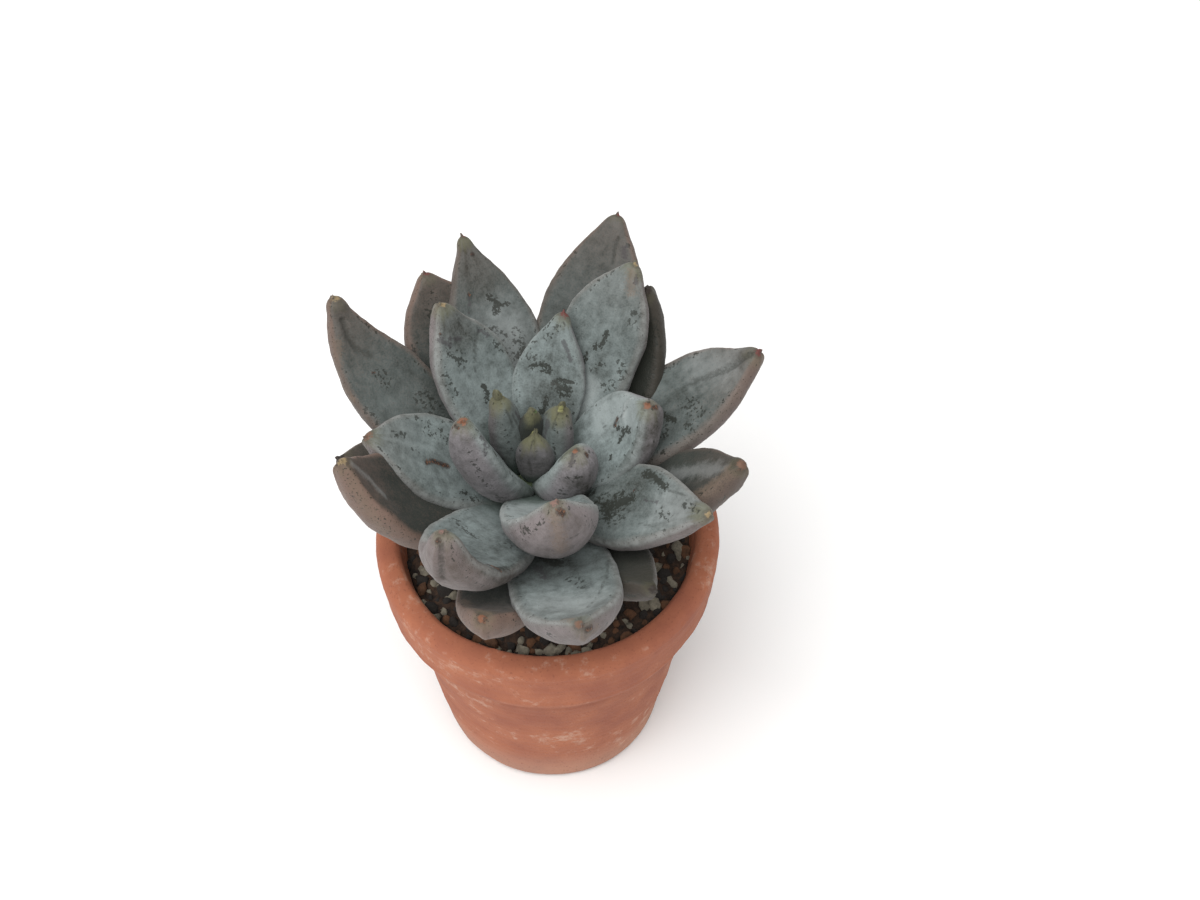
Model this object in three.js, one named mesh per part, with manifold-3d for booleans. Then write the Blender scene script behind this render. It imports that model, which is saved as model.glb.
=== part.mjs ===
// Potted echeveria: a rosette of fleshy leaves on a short stem, in soil in a small clay pot.
// Millimetres, +Z up. The origin is the centre of the pot's foot, on the surface that it stands on.
import * as THREE from 'three';
import * as BufferGeometryUtils from 'three/addons/utils/BufferGeometryUtils.js';
import Module from 'manifold-3d';

// Pot
const POT_HEIGHT = 34;
const FOOT_RADIUS = 13;
const FOOT_BEVEL = 0.8;
const RIM_RADIUS = 19;
const RIM_HEIGHT = 9;
const RIM_STEP = 1.5;
const RIM_TAPER = 0.7;
const RIM_ROUNDING = 1;
const WALL = 2.8;
const FLOOR = 3.2;
const DRAIN_RADIUS = 3;
const POT_SIDES = 40;

// Soil
const SOIL_BELOW_RIM = 3;
const SOIL_CROWN = 1;
const SOIL_SIDES = 32;

// Stem. Its heights count from just below the oldest leaf. It stands a little off the pot's middle, so
// that the rosette is centred over the pot
const PLANT_HEIGHT = 35;
const PLANT_SHIFT_X = -1;
const PLANT_SHIFT_Y = 0.7;
const STEM_RADIUS = 3;
const STEM_SIDES = 16;
const ROOT_DEPTH = 16;
const ROOT_TIP_RADIUS = 0.8;

// Rosette: leaf 1 is the youngest, and each older leaf stands a golden angle further round. Age counts
// the leaves that are younger
const LEAF_COUNT = 26;
const BUD_LEAVES = 4;
const INNER_LEAVES = 15;
const GOLDEN_ANGLE = 137.5;
const FIRST_TURN = 116;
const YOUNGEST_HEIGHT = 9;
const HEIGHT_PER_LEAF = 0.33;
const BUD_SEAT = 0.8;
const SEAT_PER_LEAF = 0.27;
const UPRIGHT = 86;
const SPREADING = 24;
const SPREADING_AGE = 7;
const BUD_LENGTH = 6;
const FULL_LENGTH = 30;
const FULL_LENGTH_AGE = 17;
const SHORTER_PER_OLD_LEAF = 0.7;
const BUD_WIDTH = 2;
const FULL_WIDTH = 11;
const FULL_WIDTH_AGE = 5;
const BUD_THICKNESS = 2;
const THICKER_PER_LEAF = 0.3;
const FULL_THICKNESS = 4.2;
const USUAL_ARCH = 12;
const USUAL_CURL = 12;
const CURL_FROM = 0.6;
const TWIST_UNTIL = 0.5;
const USUAL_HOLLOW = 1.2;
const USUAL_BLUNT = 1;
const USUAL_SQUARENESS = 0.85;

// A leaf's cross-section and outline, as shares of its width, thickness and length
const YOUNG_BASE = 0.62;
const OLD_BASE = 0.45;
const WIDEST_AT = 0.55;
const THICKEST_AT = 0.45;
const BASE_THICKNESS = 0.35;
const THICKNESS_FULLNESS = 2.2;
const INNER_SHARE = 0.45;
const OUTER_SHARE = 0.55;
const DISH_MIDDLE = 0.35;
const END_RUN = 1.4;
const END_THICKNESS = 1.8;
const RINGS_TOWARDS_TIP = 0.6;
const LEAF_SIDES = 10;
const LEAF_RINGS = 14;
const SPINE_STEPS = 200;

// Clearance where one piece is shaped by its neighbour
const GAP = 0.3;

const CLAY = new THREE.MeshStandardMaterial({ color: 0xb5694a, roughness: 0.9, metalness: 0 });
const SOIL = new THREE.MeshStandardMaterial({ color: 0x3a2c22, roughness: 1, metalness: 0 });
const STEM = new THREE.MeshStandardMaterial({ color: 0x7d7460, roughness: 0.8, metalness: 0 });
const BUD_LEAF = new THREE.MeshStandardMaterial({ color: 0x6f7a62, roughness: 0.6, metalness: 0 });
const INNER_LEAF = new THREE.MeshStandardMaterial({ color: 0x717a7b, roughness: 0.7, metalness: 0 });
const OUTER_LEAF = new THREE.MeshStandardMaterial({ color: 0x595a57, roughness: 0.7, metalness: 0 });
const UP = new THREE.Vector3(0, 0, 1);

const wasm = await Module();
wasm.setup();

// Solids and meshes

function radians(degrees) {
  return THREE.MathUtils.degToRad(degrees);
}

function toSolid(geometry) {
  const bare = geometry.clone();
  bare.deleteAttribute('normal');
  bare.deleteAttribute('uv');
  const merged = BufferGeometryUtils.mergeVertices(bare, 1e-4);
  const mesh = new wasm.Mesh({
    numProp: 3,
    vertProperties: new Float32Array(merged.getAttribute('position').array),
    triVerts: new Uint32Array(merged.index.array),
  });
  return new wasm.Manifold(mesh);
}

function toGeometry(solid) {
  const mesh = solid.getMesh();
  const geometry = new THREE.BufferGeometry();
  geometry.setAttribute('position', new THREE.BufferAttribute(mesh.vertProperties, 3));
  geometry.setIndex(new THREE.BufferAttribute(mesh.triVerts, 1));
  geometry.computeVertexNormals();
  return geometry;
}

function largestBody(solid) {
  const bodies = solid.decompose();
  return bodies.reduce((best, body) => (body.volume() > best.volume() ? body : best));
}

function piece(name, solid, material) {
  const mesh = new THREE.Mesh(toGeometry(solid), material);
  mesh.name = name;
  return mesh;
}

function turned(points, sides) {
  const outline = points.map(([radius, height]) => new THREE.Vector2(radius, height));
  return new THREE.LatheGeometry(outline, sides).rotateX(Math.PI / 2);
}

// Growth

// A leaf's usual form at its age, from upright buds to spreading outer leaves
function usualLeaf(age) {
  const grown = Math.sin((Math.PI / 2) * Math.min(1, age / FULL_LENGTH_AGE));
  const old = Math.max(0, age - FULL_LENGTH_AGE - 1);
  return {
    stray: 0,
    rise: SPREADING + (UPRIGHT - SPREADING) * Math.exp(-age / SPREADING_AGE),
    arch: USUAL_ARCH,
    curl: USUAL_CURL,
    swerve: 0,
    length: BUD_LENGTH + (FULL_LENGTH - BUD_LENGTH) * grown - SHORTER_PER_OLD_LEAF * old,
    width: FULL_WIDTH + (BUD_WIDTH - FULL_WIDTH) * Math.exp(-age / FULL_WIDTH_AGE),
    thickness: Math.min(FULL_THICKNESS, BUD_THICKNESS + THICKER_PER_LEAF * age),
    twist: 0,
    hollow: USUAL_HOLLOW,
    fullness: 2,
    blunt: USUAL_BLUNT,
    squareness: USUAL_SQUARENESS,
  };
}

// What each leaf does differently. Lengths are in millimetres and angles in degrees: stray turns it away
// from the golden angle, rise lifts it where it leaves the stem, arch lifts it further all along its
// length, curl bends its end up, swerve bends it sideways, twist rolls it, hollow dishes its inner face,
// a high fullness widens it towards the tip, blunt is its tip's radius, and a squareness below 1
// thickens its margins.
const OWN_FORM = [
  {
    stray: 2, rise: 88, arch: 14, curl: 6, swerve: 3,
    length: 9, width: 3, thickness: 2.2, hollow: -0.1, blunt: 0.4,
  },
  {
    stray: 17, rise: 80, arch: 26, curl: 25, swerve: -7,
    length: 6.5, width: 4.2, thickness: 2.8, hollow: 0, blunt: 0.4,
  },
  {
    stray: -13, rise: 76, curl: -10,
    length: 9.4, width: 4.3, thickness: 3.2, hollow: -0.4, fullness: 2.4, blunt: 0.6,
  },
  {
    stray: -2, rise: 75, curl: -6,
    length: 11.5, width: 4.6, thickness: 3.2, twist: 3, hollow: -0.4, fullness: 2.2, blunt: 0.6,
  },
  {
    stray: 4, rise: 43, arch: 40, curl: 12, swerve: 5,
    length: 11.6, width: 6, thickness: 4.1, hollow: 0.6, fullness: 3.2, blunt: 1.5, squareness: 0.8,
  },
  { stray: -4, rise: 52, arch: 3, curl: 5, swerve: -11, length: 16, fullness: 1.7 },
  {
    stray: 2, rise: 54, arch: 30, curl: 0, swerve: -4,
    length: 17.5, width: 6.9, thickness: 4, twist: 8,
    hollow: 1, fullness: 2.5, blunt: 1.4, squareness: 0.8,
  },
  {
    stray: 3, rise: 43, arch: 12, curl: 34, swerve: -8,
    length: 15.8, width: 9.4, thickness: 4.5, twist: -17,
    fullness: 2.6, blunt: 1.6, squareness: 0.8,
  },
  { stray: -2, rise: 49, curl: 20, swerve: 5, length: 20.5, twist: 0, fullness: 1.9, blunt: 1.3 },
  {
    stray: 3, rise: 38, arch: 14, curl: 50, swerve: 9,
    length: 24.6, width: 9.4, thickness: 4, hollow: 1.9, fullness: 3.4, blunt: 1.4, squareness: 0.8,
  },
  { stray: 5, rise: 44, curl: 0, swerve: -3, length: 24, fullness: 3, blunt: 1.3 },
  { stray: 2, curl: 4, swerve: 11, length: 20, twist: 20, blunt: 1.1 },
  { stray: -7, arch: 0, swerve: 2, length: 25, width: 9.5, twist: -22, hollow: 1.4, fullness: 1.7 },
  {
    stray: 3, rise: 30, arch: 8, swerve: 8,
    length: 26.5, width: 10, twist: -9, fullness: 1.7, blunt: 0.8,
  },
  {
    stray: 8, rise: 31, curl: 66,
    length: 28.5, width: 10, thickness: 3.7, twist: 9, fullness: 2.1, blunt: 1.7,
  },
  { arch: 7, curl: 20, swerve: -11, length: 27, width: 11, fullness: 2.4, blunt: 1.3 },
  {
    stray: 7, rise: 27, arch: 22, curl: 36, swerve: -26,
    length: 29.5, width: 9, twist: 14, fullness: 1.7, blunt: 1.1,
  },
  {
    stray: -11, rise: 19, arch: 22, curl: 20, swerve: -4,
    length: 29.6, width: 10.8, twist: -6, hollow: 1.6, fullness: 3.2, blunt: 1.2,
  },
  { rise: 29, curl: 8, length: 30, width: 11.5, fullness: 2.4, blunt: 1.3 },
  { stray: 10, arch: 38, curl: 12, swerve: -16, length: 29, width: 11, twist: 9, hollow: 1.6 },
  { stray: -10, arch: 25, swerve: 4, length: 27 },
  { rise: 29, arch: 16, curl: 25, length: 26, fullness: 3.2, blunt: 1.3 },
  {
    stray: -2, rise: 18, arch: 15, curl: 34, length: 24, width: 8.8,
    thickness: 3.6, twist: -4, fullness: 3.2, blunt: 1.4,
  },
  { stray: 10, rise: 36, arch: 24, curl: 39, twist: 3, fullness: 1.7, blunt: 0.5 },
  { stray: 9, swerve: 3, length: 21.4, fullness: 2.5, blunt: 0.5 },
  {
    stray: -14, arch: 15, curl: -4, swerve: 8,
    length: 23.5, width: 9, twist: 8, fullness: 1.8, blunt: 0.5,
  },
];

function grownLeaf(age) {
  const leaf = { ...usualLeaf(age), ...OWN_FORM[age] };
  leaf.turn = FIRST_TURN + GOLDEN_ANGLE * age + leaf.stray;
  leaf.height = YOUNGEST_HEIGHT - HEIGHT_PER_LEAF * age;
  leaf.seat = Math.min(STEM_RADIUS * 0.8, BUD_SEAT + SEAT_PER_LEAF * age);
  leaf.base = THREE.MathUtils.lerp(YOUNG_BASE, OLD_BASE, age / (LEAF_COUNT - 1));
  return leaf;
}

// Share of the full width at s, from 0 at the stem to 1 at the tip
function outline(s, base, widest, fullness) {
  if (s < widest) {
    return base + (1 - base) * Math.sin((Math.PI / 2) * (s / widest));
  }
  return Math.max(0, 1 - ((s - widest) / (1 - widest)) ** fullness);
}

// The greater of two lengths, with a soft change from one to the other
function smoothMax(a, b, over) {
  const near = Math.max(0, over - Math.abs(a - b)) / over;
  return Math.max(a, b) + (near ** 3 * over) / 6;
}

// Radius that rounds off the tip, from nothing to the leaf's blunt, at s
function tipRadius(leaf, s) {
  const run = leaf.blunt * END_RUN;
  const near = THREE.MathUtils.clamp(1 - ((1 - s) * leaf.length) / run, 0, 1);
  return leaf.blunt * Math.sqrt(1 - near ** 2);
}

// A cosine or sine swelled out from an ellipse towards a rectangle
function squared(value, squareness) {
  return Math.sign(value) * Math.abs(value) ** squareness;
}

// Directions at s: along the leaf, across it, and out of its inner face
function directions(leaf, s) {
  const end = THREE.MathUtils.clamp((s - CURL_FROM) / (1 - CURL_FROM), 0, 1) ** 1.5;
  const rise = radians(leaf.rise + leaf.arch * s + leaf.curl * end);
  const turn = radians(leaf.turn + leaf.swerve * s);
  const along = new THREE.Vector3(Math.cos(rise), 0, Math.sin(rise)).applyAxisAngle(UP, turn);
  const side = new THREE.Vector3(Math.sin(turn), -Math.cos(turn), 0);
  const roll = radians(leaf.twist) * Math.min(1, s / TWIST_UNTIL);
  side.applyAxisAngle(along, -roll);
  return { along, side, face: side.clone().cross(along) };
}

// Points along the leaf's middle, from inside the stem to the tip
function spine(leaf) {
  const spots = [];
  const spot = new THREE.Vector3(leaf.seat, 0, leaf.height).applyAxisAngle(UP, radians(leaf.turn));
  for (let step = 0; step <= SPINE_STEPS; step += 1) {
    spots.push(spot.clone());
    const { along } = directions(leaf, (step + 0.5) / SPINE_STEPS);
    spot.addScaledVector(along, leaf.length / SPINE_STEPS);
  }
  return spots;
}

// A sphere drawn out along the spine: its poles become the cut base and the tip, and its rings, which
// stand closer together towards the rounded tip, become cross-sections with the inner face dished
function leafSolid(leaf, grow = 0) {
  const skin = new THREE.SphereGeometry(1, LEAF_SIDES, LEAF_RINGS);
  const spots = spine(leaf);
  const points = skin.getAttribute('position');
  const sphere = new THREE.Vector3();
  for (let i = 0; i < points.count; i += 1) {
    sphere.fromBufferAttribute(points, i);
    const ring = Math.round((Math.acos(THREE.MathUtils.clamp(-sphere.y, -1, 1)) / Math.PI) * LEAF_RINGS);
    const share = Math.max(0, ring - 1) / (LEAF_RINGS - 1);
    const s = share * (1 + RINGS_TOWARDS_TIP * (1 - share));
    const { side, face } = directions(leaf, s);
    const spread = Math.hypot(sphere.x, sphere.z);
    const x = spread > 1e-6 ? squared(sphere.x / spread, leaf.squareness) : 0;
    const z = spread > 1e-6 ? squared(sphere.z / spread, leaf.squareness) : 0;
    const end = ring < LEAF_RINGS ? tipRadius(leaf, s) : 0;
    const width = outline(s, leaf.base, WIDEST_AT, leaf.fullness);
    const half = smoothMax((leaf.width / 2) * width, end, leaf.blunt) + grow;
    const body = Math.sqrt(outline(s, BASE_THICKNESS, THICKEST_AT, THICKNESS_FULLNESS));
    const thickness = smoothMax(leaf.thickness * body, END_THICKNESS * end, leaf.blunt) + 2 * grow;
    const dish = leaf.hollow * width * (x * x - DISH_MIDDLE);
    spots[Math.round(s * SPINE_STEPS)].clone()
      .addScaledVector(side, half * x)
      .addScaledVector(face, thickness * z * (z > 0 ? INNER_SHARE : OUTER_SHARE) + dish)
      .toArray(points.array, i * 3);
  }
  return toSolid(skin);
}

// Pot

function potSolid() {
  const rimFoot = POT_HEIGHT - RIM_HEIGHT;
  const shoulder = RIM_RADIUS - RIM_TAPER - RIM_STEP;
  const mouth = RIM_RADIUS - WALL;
  return toSolid(turned([
    [DRAIN_RADIUS, 0],
    [FOOT_RADIUS - FOOT_BEVEL, 0],
    [FOOT_RADIUS, FOOT_BEVEL],
    [shoulder, rimFoot],
    [RIM_RADIUS - RIM_TAPER, rimFoot + RIM_STEP / 2],
    [RIM_RADIUS, POT_HEIGHT - RIM_ROUNDING],
    [RIM_RADIUS - RIM_ROUNDING, POT_HEIGHT],
    [mouth + RIM_ROUNDING / 2, POT_HEIGHT],
    [mouth, POT_HEIGHT - RIM_ROUNDING],
    [FOOT_RADIUS - WALL, FLOOR],
    [DRAIN_RADIUS, FLOOR],
    [DRAIN_RADIUS, 0],
  ], POT_SIDES));
}

// Radius of the pot's inside at a height above its floor
function insideRadius(height) {
  const top = POT_HEIGHT - RIM_ROUNDING;
  const share = (height - FLOOR) / (top - FLOOR);
  return THREE.MathUtils.lerp(FOOT_RADIUS - WALL, RIM_RADIUS - WALL, share);
}

function soilSolid() {
  const bottom = FLOOR + GAP;
  const edge = POT_HEIGHT - SOIL_BELOW_RIM;
  return toSolid(turned([
    [0, bottom],
    [insideRadius(bottom) - GAP, bottom],
    [insideRadius(edge) - GAP, edge],
    [insideRadius(edge) * 0.55, edge + SOIL_CROWN * 0.8],
    [0, edge + SOIL_CROWN],
  ], SOIL_SIDES));
}

// Stem: a root in the soil, a short neck, and the domed crown that the leaves leave
function stemSolid(grow = 0) {
  const crown = YOUNGEST_HEIGHT;
  return toSolid(turned([
    [0, -ROOT_DEPTH - grow],
    [ROOT_TIP_RADIUS + grow, -ROOT_DEPTH + ROOT_TIP_RADIUS],
    [STEM_RADIUS * 0.75 + grow, -ROOT_DEPTH * 0.35],
    [STEM_RADIUS + grow, 0],
    [STEM_RADIUS + grow, crown * 0.5],
    [STEM_RADIUS * 0.9 + grow, crown * 0.75],
    [STEM_RADIUS * 0.6 + grow, crown * 0.92],
    [STEM_RADIUS * 0.2 + grow, crown + grow],
    [0, crown + 0.1 + grow],
  ], STEM_SIDES));
}

// Assembly: each leaf gives way to the stem and to the younger leaves above it

const plant = new THREE.Group();
plant.position.set(PLANT_SHIFT_X, PLANT_SHIFT_Y, PLANT_HEIGHT);
plant.add(piece('stem', stemSolid(), STEM));

let taken = stemSolid(GAP);
for (let age = 0; age < LEAF_COUNT; age += 1) {
  const leaf = grownLeaf(age);
  const solid = largestBody(leafSolid(leaf).subtract(taken));
  const number = String(age + 1).padStart(2, '0');
  const inner = age < INNER_LEAVES ? INNER_LEAF : OUTER_LEAF;
  plant.add(piece(`leaf_${number}`, solid, age < BUD_LEAVES ? BUD_LEAF : inner));
  taken = taken.add(leafSolid(leaf, GAP));
}

const socket = stemSolid(GAP).translate([PLANT_SHIFT_X, PLANT_SHIFT_Y, PLANT_HEIGHT]);

const pottedEcheveria = new THREE.Group();
pottedEcheveria.add(piece('pot', potSolid(), CLAY));
pottedEcheveria.add(piece('soil', soilSolid().subtract(socket), SOIL));
pottedEcheveria.add(plant);

export default pottedEcheveria;
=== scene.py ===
"""Potted echeveria: a small rosette succulent in a clay pot, built around the packed frame.

The leaves grow by the rule that their solids follow, at a finer grain and with their skin, marks and tips.
"""

import math

import bpy
import numpy as np
from bpy.props import FloatProperty, FloatVectorProperty, IntProperty, PointerProperty
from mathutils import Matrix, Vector, noise


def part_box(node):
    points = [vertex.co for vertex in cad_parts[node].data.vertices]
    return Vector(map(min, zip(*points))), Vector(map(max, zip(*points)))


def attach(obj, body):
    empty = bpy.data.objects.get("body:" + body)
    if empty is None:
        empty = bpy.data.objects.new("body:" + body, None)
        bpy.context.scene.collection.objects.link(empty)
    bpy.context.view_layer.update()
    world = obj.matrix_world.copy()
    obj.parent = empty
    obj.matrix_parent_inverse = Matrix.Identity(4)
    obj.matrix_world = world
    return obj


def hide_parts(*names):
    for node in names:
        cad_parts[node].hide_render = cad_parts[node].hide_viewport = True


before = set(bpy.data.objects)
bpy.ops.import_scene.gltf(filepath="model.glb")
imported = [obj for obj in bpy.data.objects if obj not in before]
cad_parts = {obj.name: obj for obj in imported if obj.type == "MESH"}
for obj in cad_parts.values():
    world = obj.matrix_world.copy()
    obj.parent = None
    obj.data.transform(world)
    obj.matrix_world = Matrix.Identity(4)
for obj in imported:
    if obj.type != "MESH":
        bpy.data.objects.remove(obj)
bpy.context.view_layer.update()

bl_info = {
    "name": "Potted echeveria",
    "version": (1, 0, 0),
    "blender": (4, 5, 0),
    "location": "3D View > Sidebar > Echeveria",
    "description": "Builds a small rosette succulent in a clay pot",
    "category": "Add Mesh",
}

MM = 0.001
BODY = "root"
MATH = "ShaderNodeMath"
VECTOR = "ShaderNodeVectorMath"
MIX = "ShaderNodeMix"
RANGE = "ShaderNodeMapRange"
NOISE = "ShaderNodeTexNoise"

# Rosette, in millimetres and degrees. Age counts the leaves that are younger
LEAF_COUNT = 26
BUD_LEAVES = 4
INNER_LEAVES = 15
SPREADING_AGE = 7
FULL_LENGTH_AGE = 17
FULL_WIDTH_AGE = 5
SHORTER_PER_OLD_LEAF = 0.7
THICKER_PER_LEAF = 0.3
HEIGHT_PER_LEAF = 0.33
BUD_SEAT = 0.8
SEAT_PER_LEAF = 0.27
FURTHEST_SEAT = 0.8  # of the stem's radius

# A leaf's outline and section, as shares of its length, width and thickness
CURL_FROM = 0.6
CURL_POWER = 1.5
TWIST_UNTIL = 0.5
YOUNG_BASE = 0.62
OLD_BASE = 0.45
WIDEST_AT = 0.55
THICKEST_AT = 0.45
BASE_THICKNESS = 0.35
THICKNESS_FULLNESS = 2.2
INNER_SHARE = 0.45
OUTER_SHARE = 0.55
DISH_MIDDLE = 0.35
RINGS_TOWARDS_TIP = 0.35
BASE_UNTIL = 0.03
END_RUN = 1.4
END_THICKNESS = 1.8
SPUR_FROM = 0.95
SPUR_HALF = 0.42
SPUR_POWER = 0.6
KEEL_FROM = 0.5
KEEL_UNTIL = 0.92
KEEL_SHARPNESS = 20
WAVES_FADE_FROM = 0.9
WAVES_PER_METRE = 230.0
WELD_WITHIN = 1e-7  # metres
LEAF_RINGS = 150
LEAF_SIDES = 72

# Olive near the tip: how far it reaches from there, in millimetres, and its most
BUD_OLIVE = (2.9, 0.9)
INNER_OLIVE = (2.2, 0.5)
OUTER_OLIVE = (1.8, 0.25)

# Stem, in millimetres: its outline as heights over the soil with shares of the neck's radius, and its scars
STEM_OUTLINE = (
    (-16, 0), (-15.7, 0.16), (-15.2, 0.27), (-5.6, 0.75), (0, 1),
    (4.5, 1), (6.75, 0.9), (8.28, 0.6), (9, 0.2), (9.1, 0),
)
STEM_RINGS = 110
STEM_SIDES = 72
SCAR_COUNT = 16
HIGHEST_SCAR = 0.3
SCAR_HALF_WIDTH = 1.5
SCAR_HALF_HEIGHT = 0.42
SCAR_RIM = 0.3
SCAR_PIT = 0.1

# Unevenness: pairs of grain and height in millimetres
BARK_GRAIN = ((1.2, 0.25), (0.5, 0.12))
SOIL_LUMPS = ((3.5, 0.5), (1.3, 0.45), (0.6, 0.2))
CLAY_GRAIN = ((9, 0.22), (2.5, 0.07), (0.9, 0.03))

# Pot, in millimetres. Throwing rings have a height and a spacing. A chip in the rim has a direction in
# radians, how far it lies inside the rim and below the top, and a size
POT_FLOOR = 3.2
POT_SHARPNESS = 0.55
POT_STEP = 0.4
THROWING_RINGS = ((0.035, 1.15), (0.02, 0.7))
CHIPS = ((2.3, 0.4, 0.4, 0.9), (4.4, 2.2, 0, 0.6), (5.6, 0.2, 1, 0.5))

# Soil. Its grains are cubes pushed towards balls, turned and flattened by chance
SOIL_STEP = 0.45
SOIL_SIDES = 144
GRAINS_PER_SQUARE_METRE = 3e6
LEVEL_ENOUGH = 0.6
BALL_SHARE = 0.85
CUBE_SHARE = 0.18
FULL_TURN = 6.28
FLATTEST = (0.75, 0.75, 0.55)
FULLEST = (1.2, 1.2, 0.9)
LUMPS_PER_METRE = 1300.0

# Stage: the lamp in metres, the camera in millimetres. The camera looks past the crown's middle
LAMP_PLACE = Vector((-0.08, -0.16, 0.5))
LAMP_AIM = Vector((0, 0, 0.05))
CROWN_MIDDLE = Vector((-1, 0.7, 43))
CAMERA_RIGHT = 6.737
CAMERA_UP = 2.105

ANGLES = ("rise", "arch", "curl", "turn", "swerve", "twist")
LENGTHS = ("length", "width", "thickness", "hollow", "seat", "height", "keel", "blunt", "spur")
SHARES = ("base", "fullness", "squareness")
GRAVEL_LENGTHS = ("spacing", "least", "most", "roughness")
# Marks: rubbed and speckled skin, bruises, creases, pale and tan powder, scars, and thick and thin wax. The
# thick wax marks also paint light on faces turned to the lamp, and the thin ones also paint shade, as under
# a tip
KINDS = ("rub", "speckle", "stain", "line", "pale", "tan", "scar", "thick", "thin")
OTHER_FACE = 0.35  # how far round the margin a mark may still reach
DARKEST_RUB = 0.86
WAXED_ROUGHNESS = 0.62
BARE_ROUGHNESS = 0.46


def linear(code):
    """A colour's sRGB hex code as linear RGBA."""
    parts = [int(code[i : i + 2], 16) / 255 for i in (1, 3, 5)]
    return tuple(c / 12.92 if c <= 0.04045 else ((c + 0.055) / 1.055) ** 2.4 for c in parts) + (1.0,)


def add_node(tree, kind, inputs=(), **settings):
    """Adds a node, makes its settings, and links or sets its inputs, which are a list or a dict."""
    node = tree.nodes.new(kind)
    for name, value in settings.items():
        setattr(node, name, value)
    for key, value in inputs.items() if isinstance(inputs, dict) else enumerate(inputs):
        if isinstance(value, bpy.types.Node):
            value = next(o for o in value.outputs if o.enabled)
        if isinstance(value, bpy.types.NodeSocket):
            tree.links.new(value, node.inputs[key])
        elif value is not None:
            node.inputs[key].default_value = value
    return node


# What each leaf does differently. stray turns it away from the golden angle, rise lifts it where it leaves
# the stem, arch lifts it further all along its length, curl bends its end up, swerve bends it sideways,
# twist rolls it, hollow dishes its inner face, and a high fullness gives a blunt tip.
OWN_FORM = [
    dict(
        stray=2, rise=88, arch=14, curl=6, swerve=3, length=9, width=3, thickness=2.2, hollow=-0.1,
        blunt=0.4,
    ),
    dict(
        stray=17, rise=80, arch=26, curl=25, swerve=-7, length=6.5, width=4.2, thickness=2.8, hollow=0,
        blunt=0.4, spur=0.8,
    ),
    dict(
        stray=-13, rise=76, curl=-10, length=9.2, width=4.3, thickness=3.2, hollow=-0.4, blunt=0.5,
        fullness=2.2, spur=0.8,
    ),
    dict(
        stray=-2, rise=75, curl=-6, length=11.3, width=4.6, thickness=3.2, twist=3, hollow=-0.4,
        blunt=0.5, fullness=2.1, spur=1,
    ),
    dict(
        stray=4, rise=43, arch=40, curl=12, swerve=5, length=11.6, width=6, thickness=4.1, hollow=0.6,
        fullness=3.2, blunt=1.5, squareness=0.8,
    ),
    dict(stray=-4, rise=52, arch=3, curl=5, swerve=-11, length=16, fullness=1.7),
    dict(
        stray=2, rise=54, arch=30, curl=0, swerve=-4, length=17.5, width=6.9, thickness=4, twist=8,
        hollow=1, fullness=2.5, blunt=1.4, squareness=0.8,
    ),
    dict(
        stray=3, rise=43, arch=12, curl=34, swerve=-8, length=15.8, width=9.4, thickness=4.5, twist=-17,
        fullness=2.6, blunt=1.6, squareness=0.8,
    ),
    dict(stray=-2, rise=49, curl=20, swerve=5, length=20.5, twist=0, fullness=1.9, blunt=1.3),
    dict(
        stray=3, rise=38, arch=14, curl=50, swerve=9, length=24.6, width=9.4, thickness=4, hollow=1.9,
        fullness=3.4, blunt=1.4, squareness=0.8,
    ),
    dict(stray=5, rise=44, curl=0, swerve=-3, length=24, fullness=3, blunt=1.3),
    dict(stray=2, curl=4, swerve=11, length=20, twist=20, blunt=1.1),
    dict(stray=-7, arch=0, swerve=2, length=25, width=9.5, twist=-22, hollow=1.4, fullness=1.7),
    dict(stray=3, rise=30, arch=8, swerve=8, length=26.5, width=10, twist=-9, fullness=1.7, blunt=0.8),
    dict(stray=8, rise=31, curl=66, length=28.5, width=10, thickness=3.7, twist=9, fullness=2.1, blunt=1.7),
    dict(arch=7, curl=20, swerve=-11, length=27, width=11, fullness=2.4, blunt=1.3),
    dict(
        stray=7, rise=27, arch=22, curl=36, swerve=-26, length=29.5, width=9, twist=14, fullness=1.7,
        blunt=1.1,
    ),
    dict(
        stray=-11, rise=19, arch=22, curl=20, swerve=-4, length=29.6, width=10.8, twist=-6, hollow=1.6,
        fullness=3.2, blunt=1.2,
    ),
    dict(rise=29, curl=8, length=30, width=11.5, fullness=2.4, blunt=1.3),
    dict(stray=10, arch=38, curl=12, swerve=-16, length=29, width=11, twist=9, hollow=1.6),
    dict(stray=-10, arch=25, swerve=4, length=27),
    dict(rise=29, arch=16, curl=25, length=26, fullness=3.2, blunt=1.3),
    dict(
        stray=-2, rise=18, arch=15, curl=34, length=24, width=8.8, thickness=3.6, twist=-4, fullness=3.2,
        blunt=1.4,
    ),
    dict(stray=10, rise=36, arch=24, curl=39, twist=3, fullness=1.7, blunt=0.5),
    dict(stray=9, swerve=3, length=21.4, fullness=2.5, blunt=0.5),
    dict(stray=-14, arch=15, curl=-4, swerve=8, length=23.5, width=9, twist=8, fullness=1.8, blunt=0.5),
]
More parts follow.
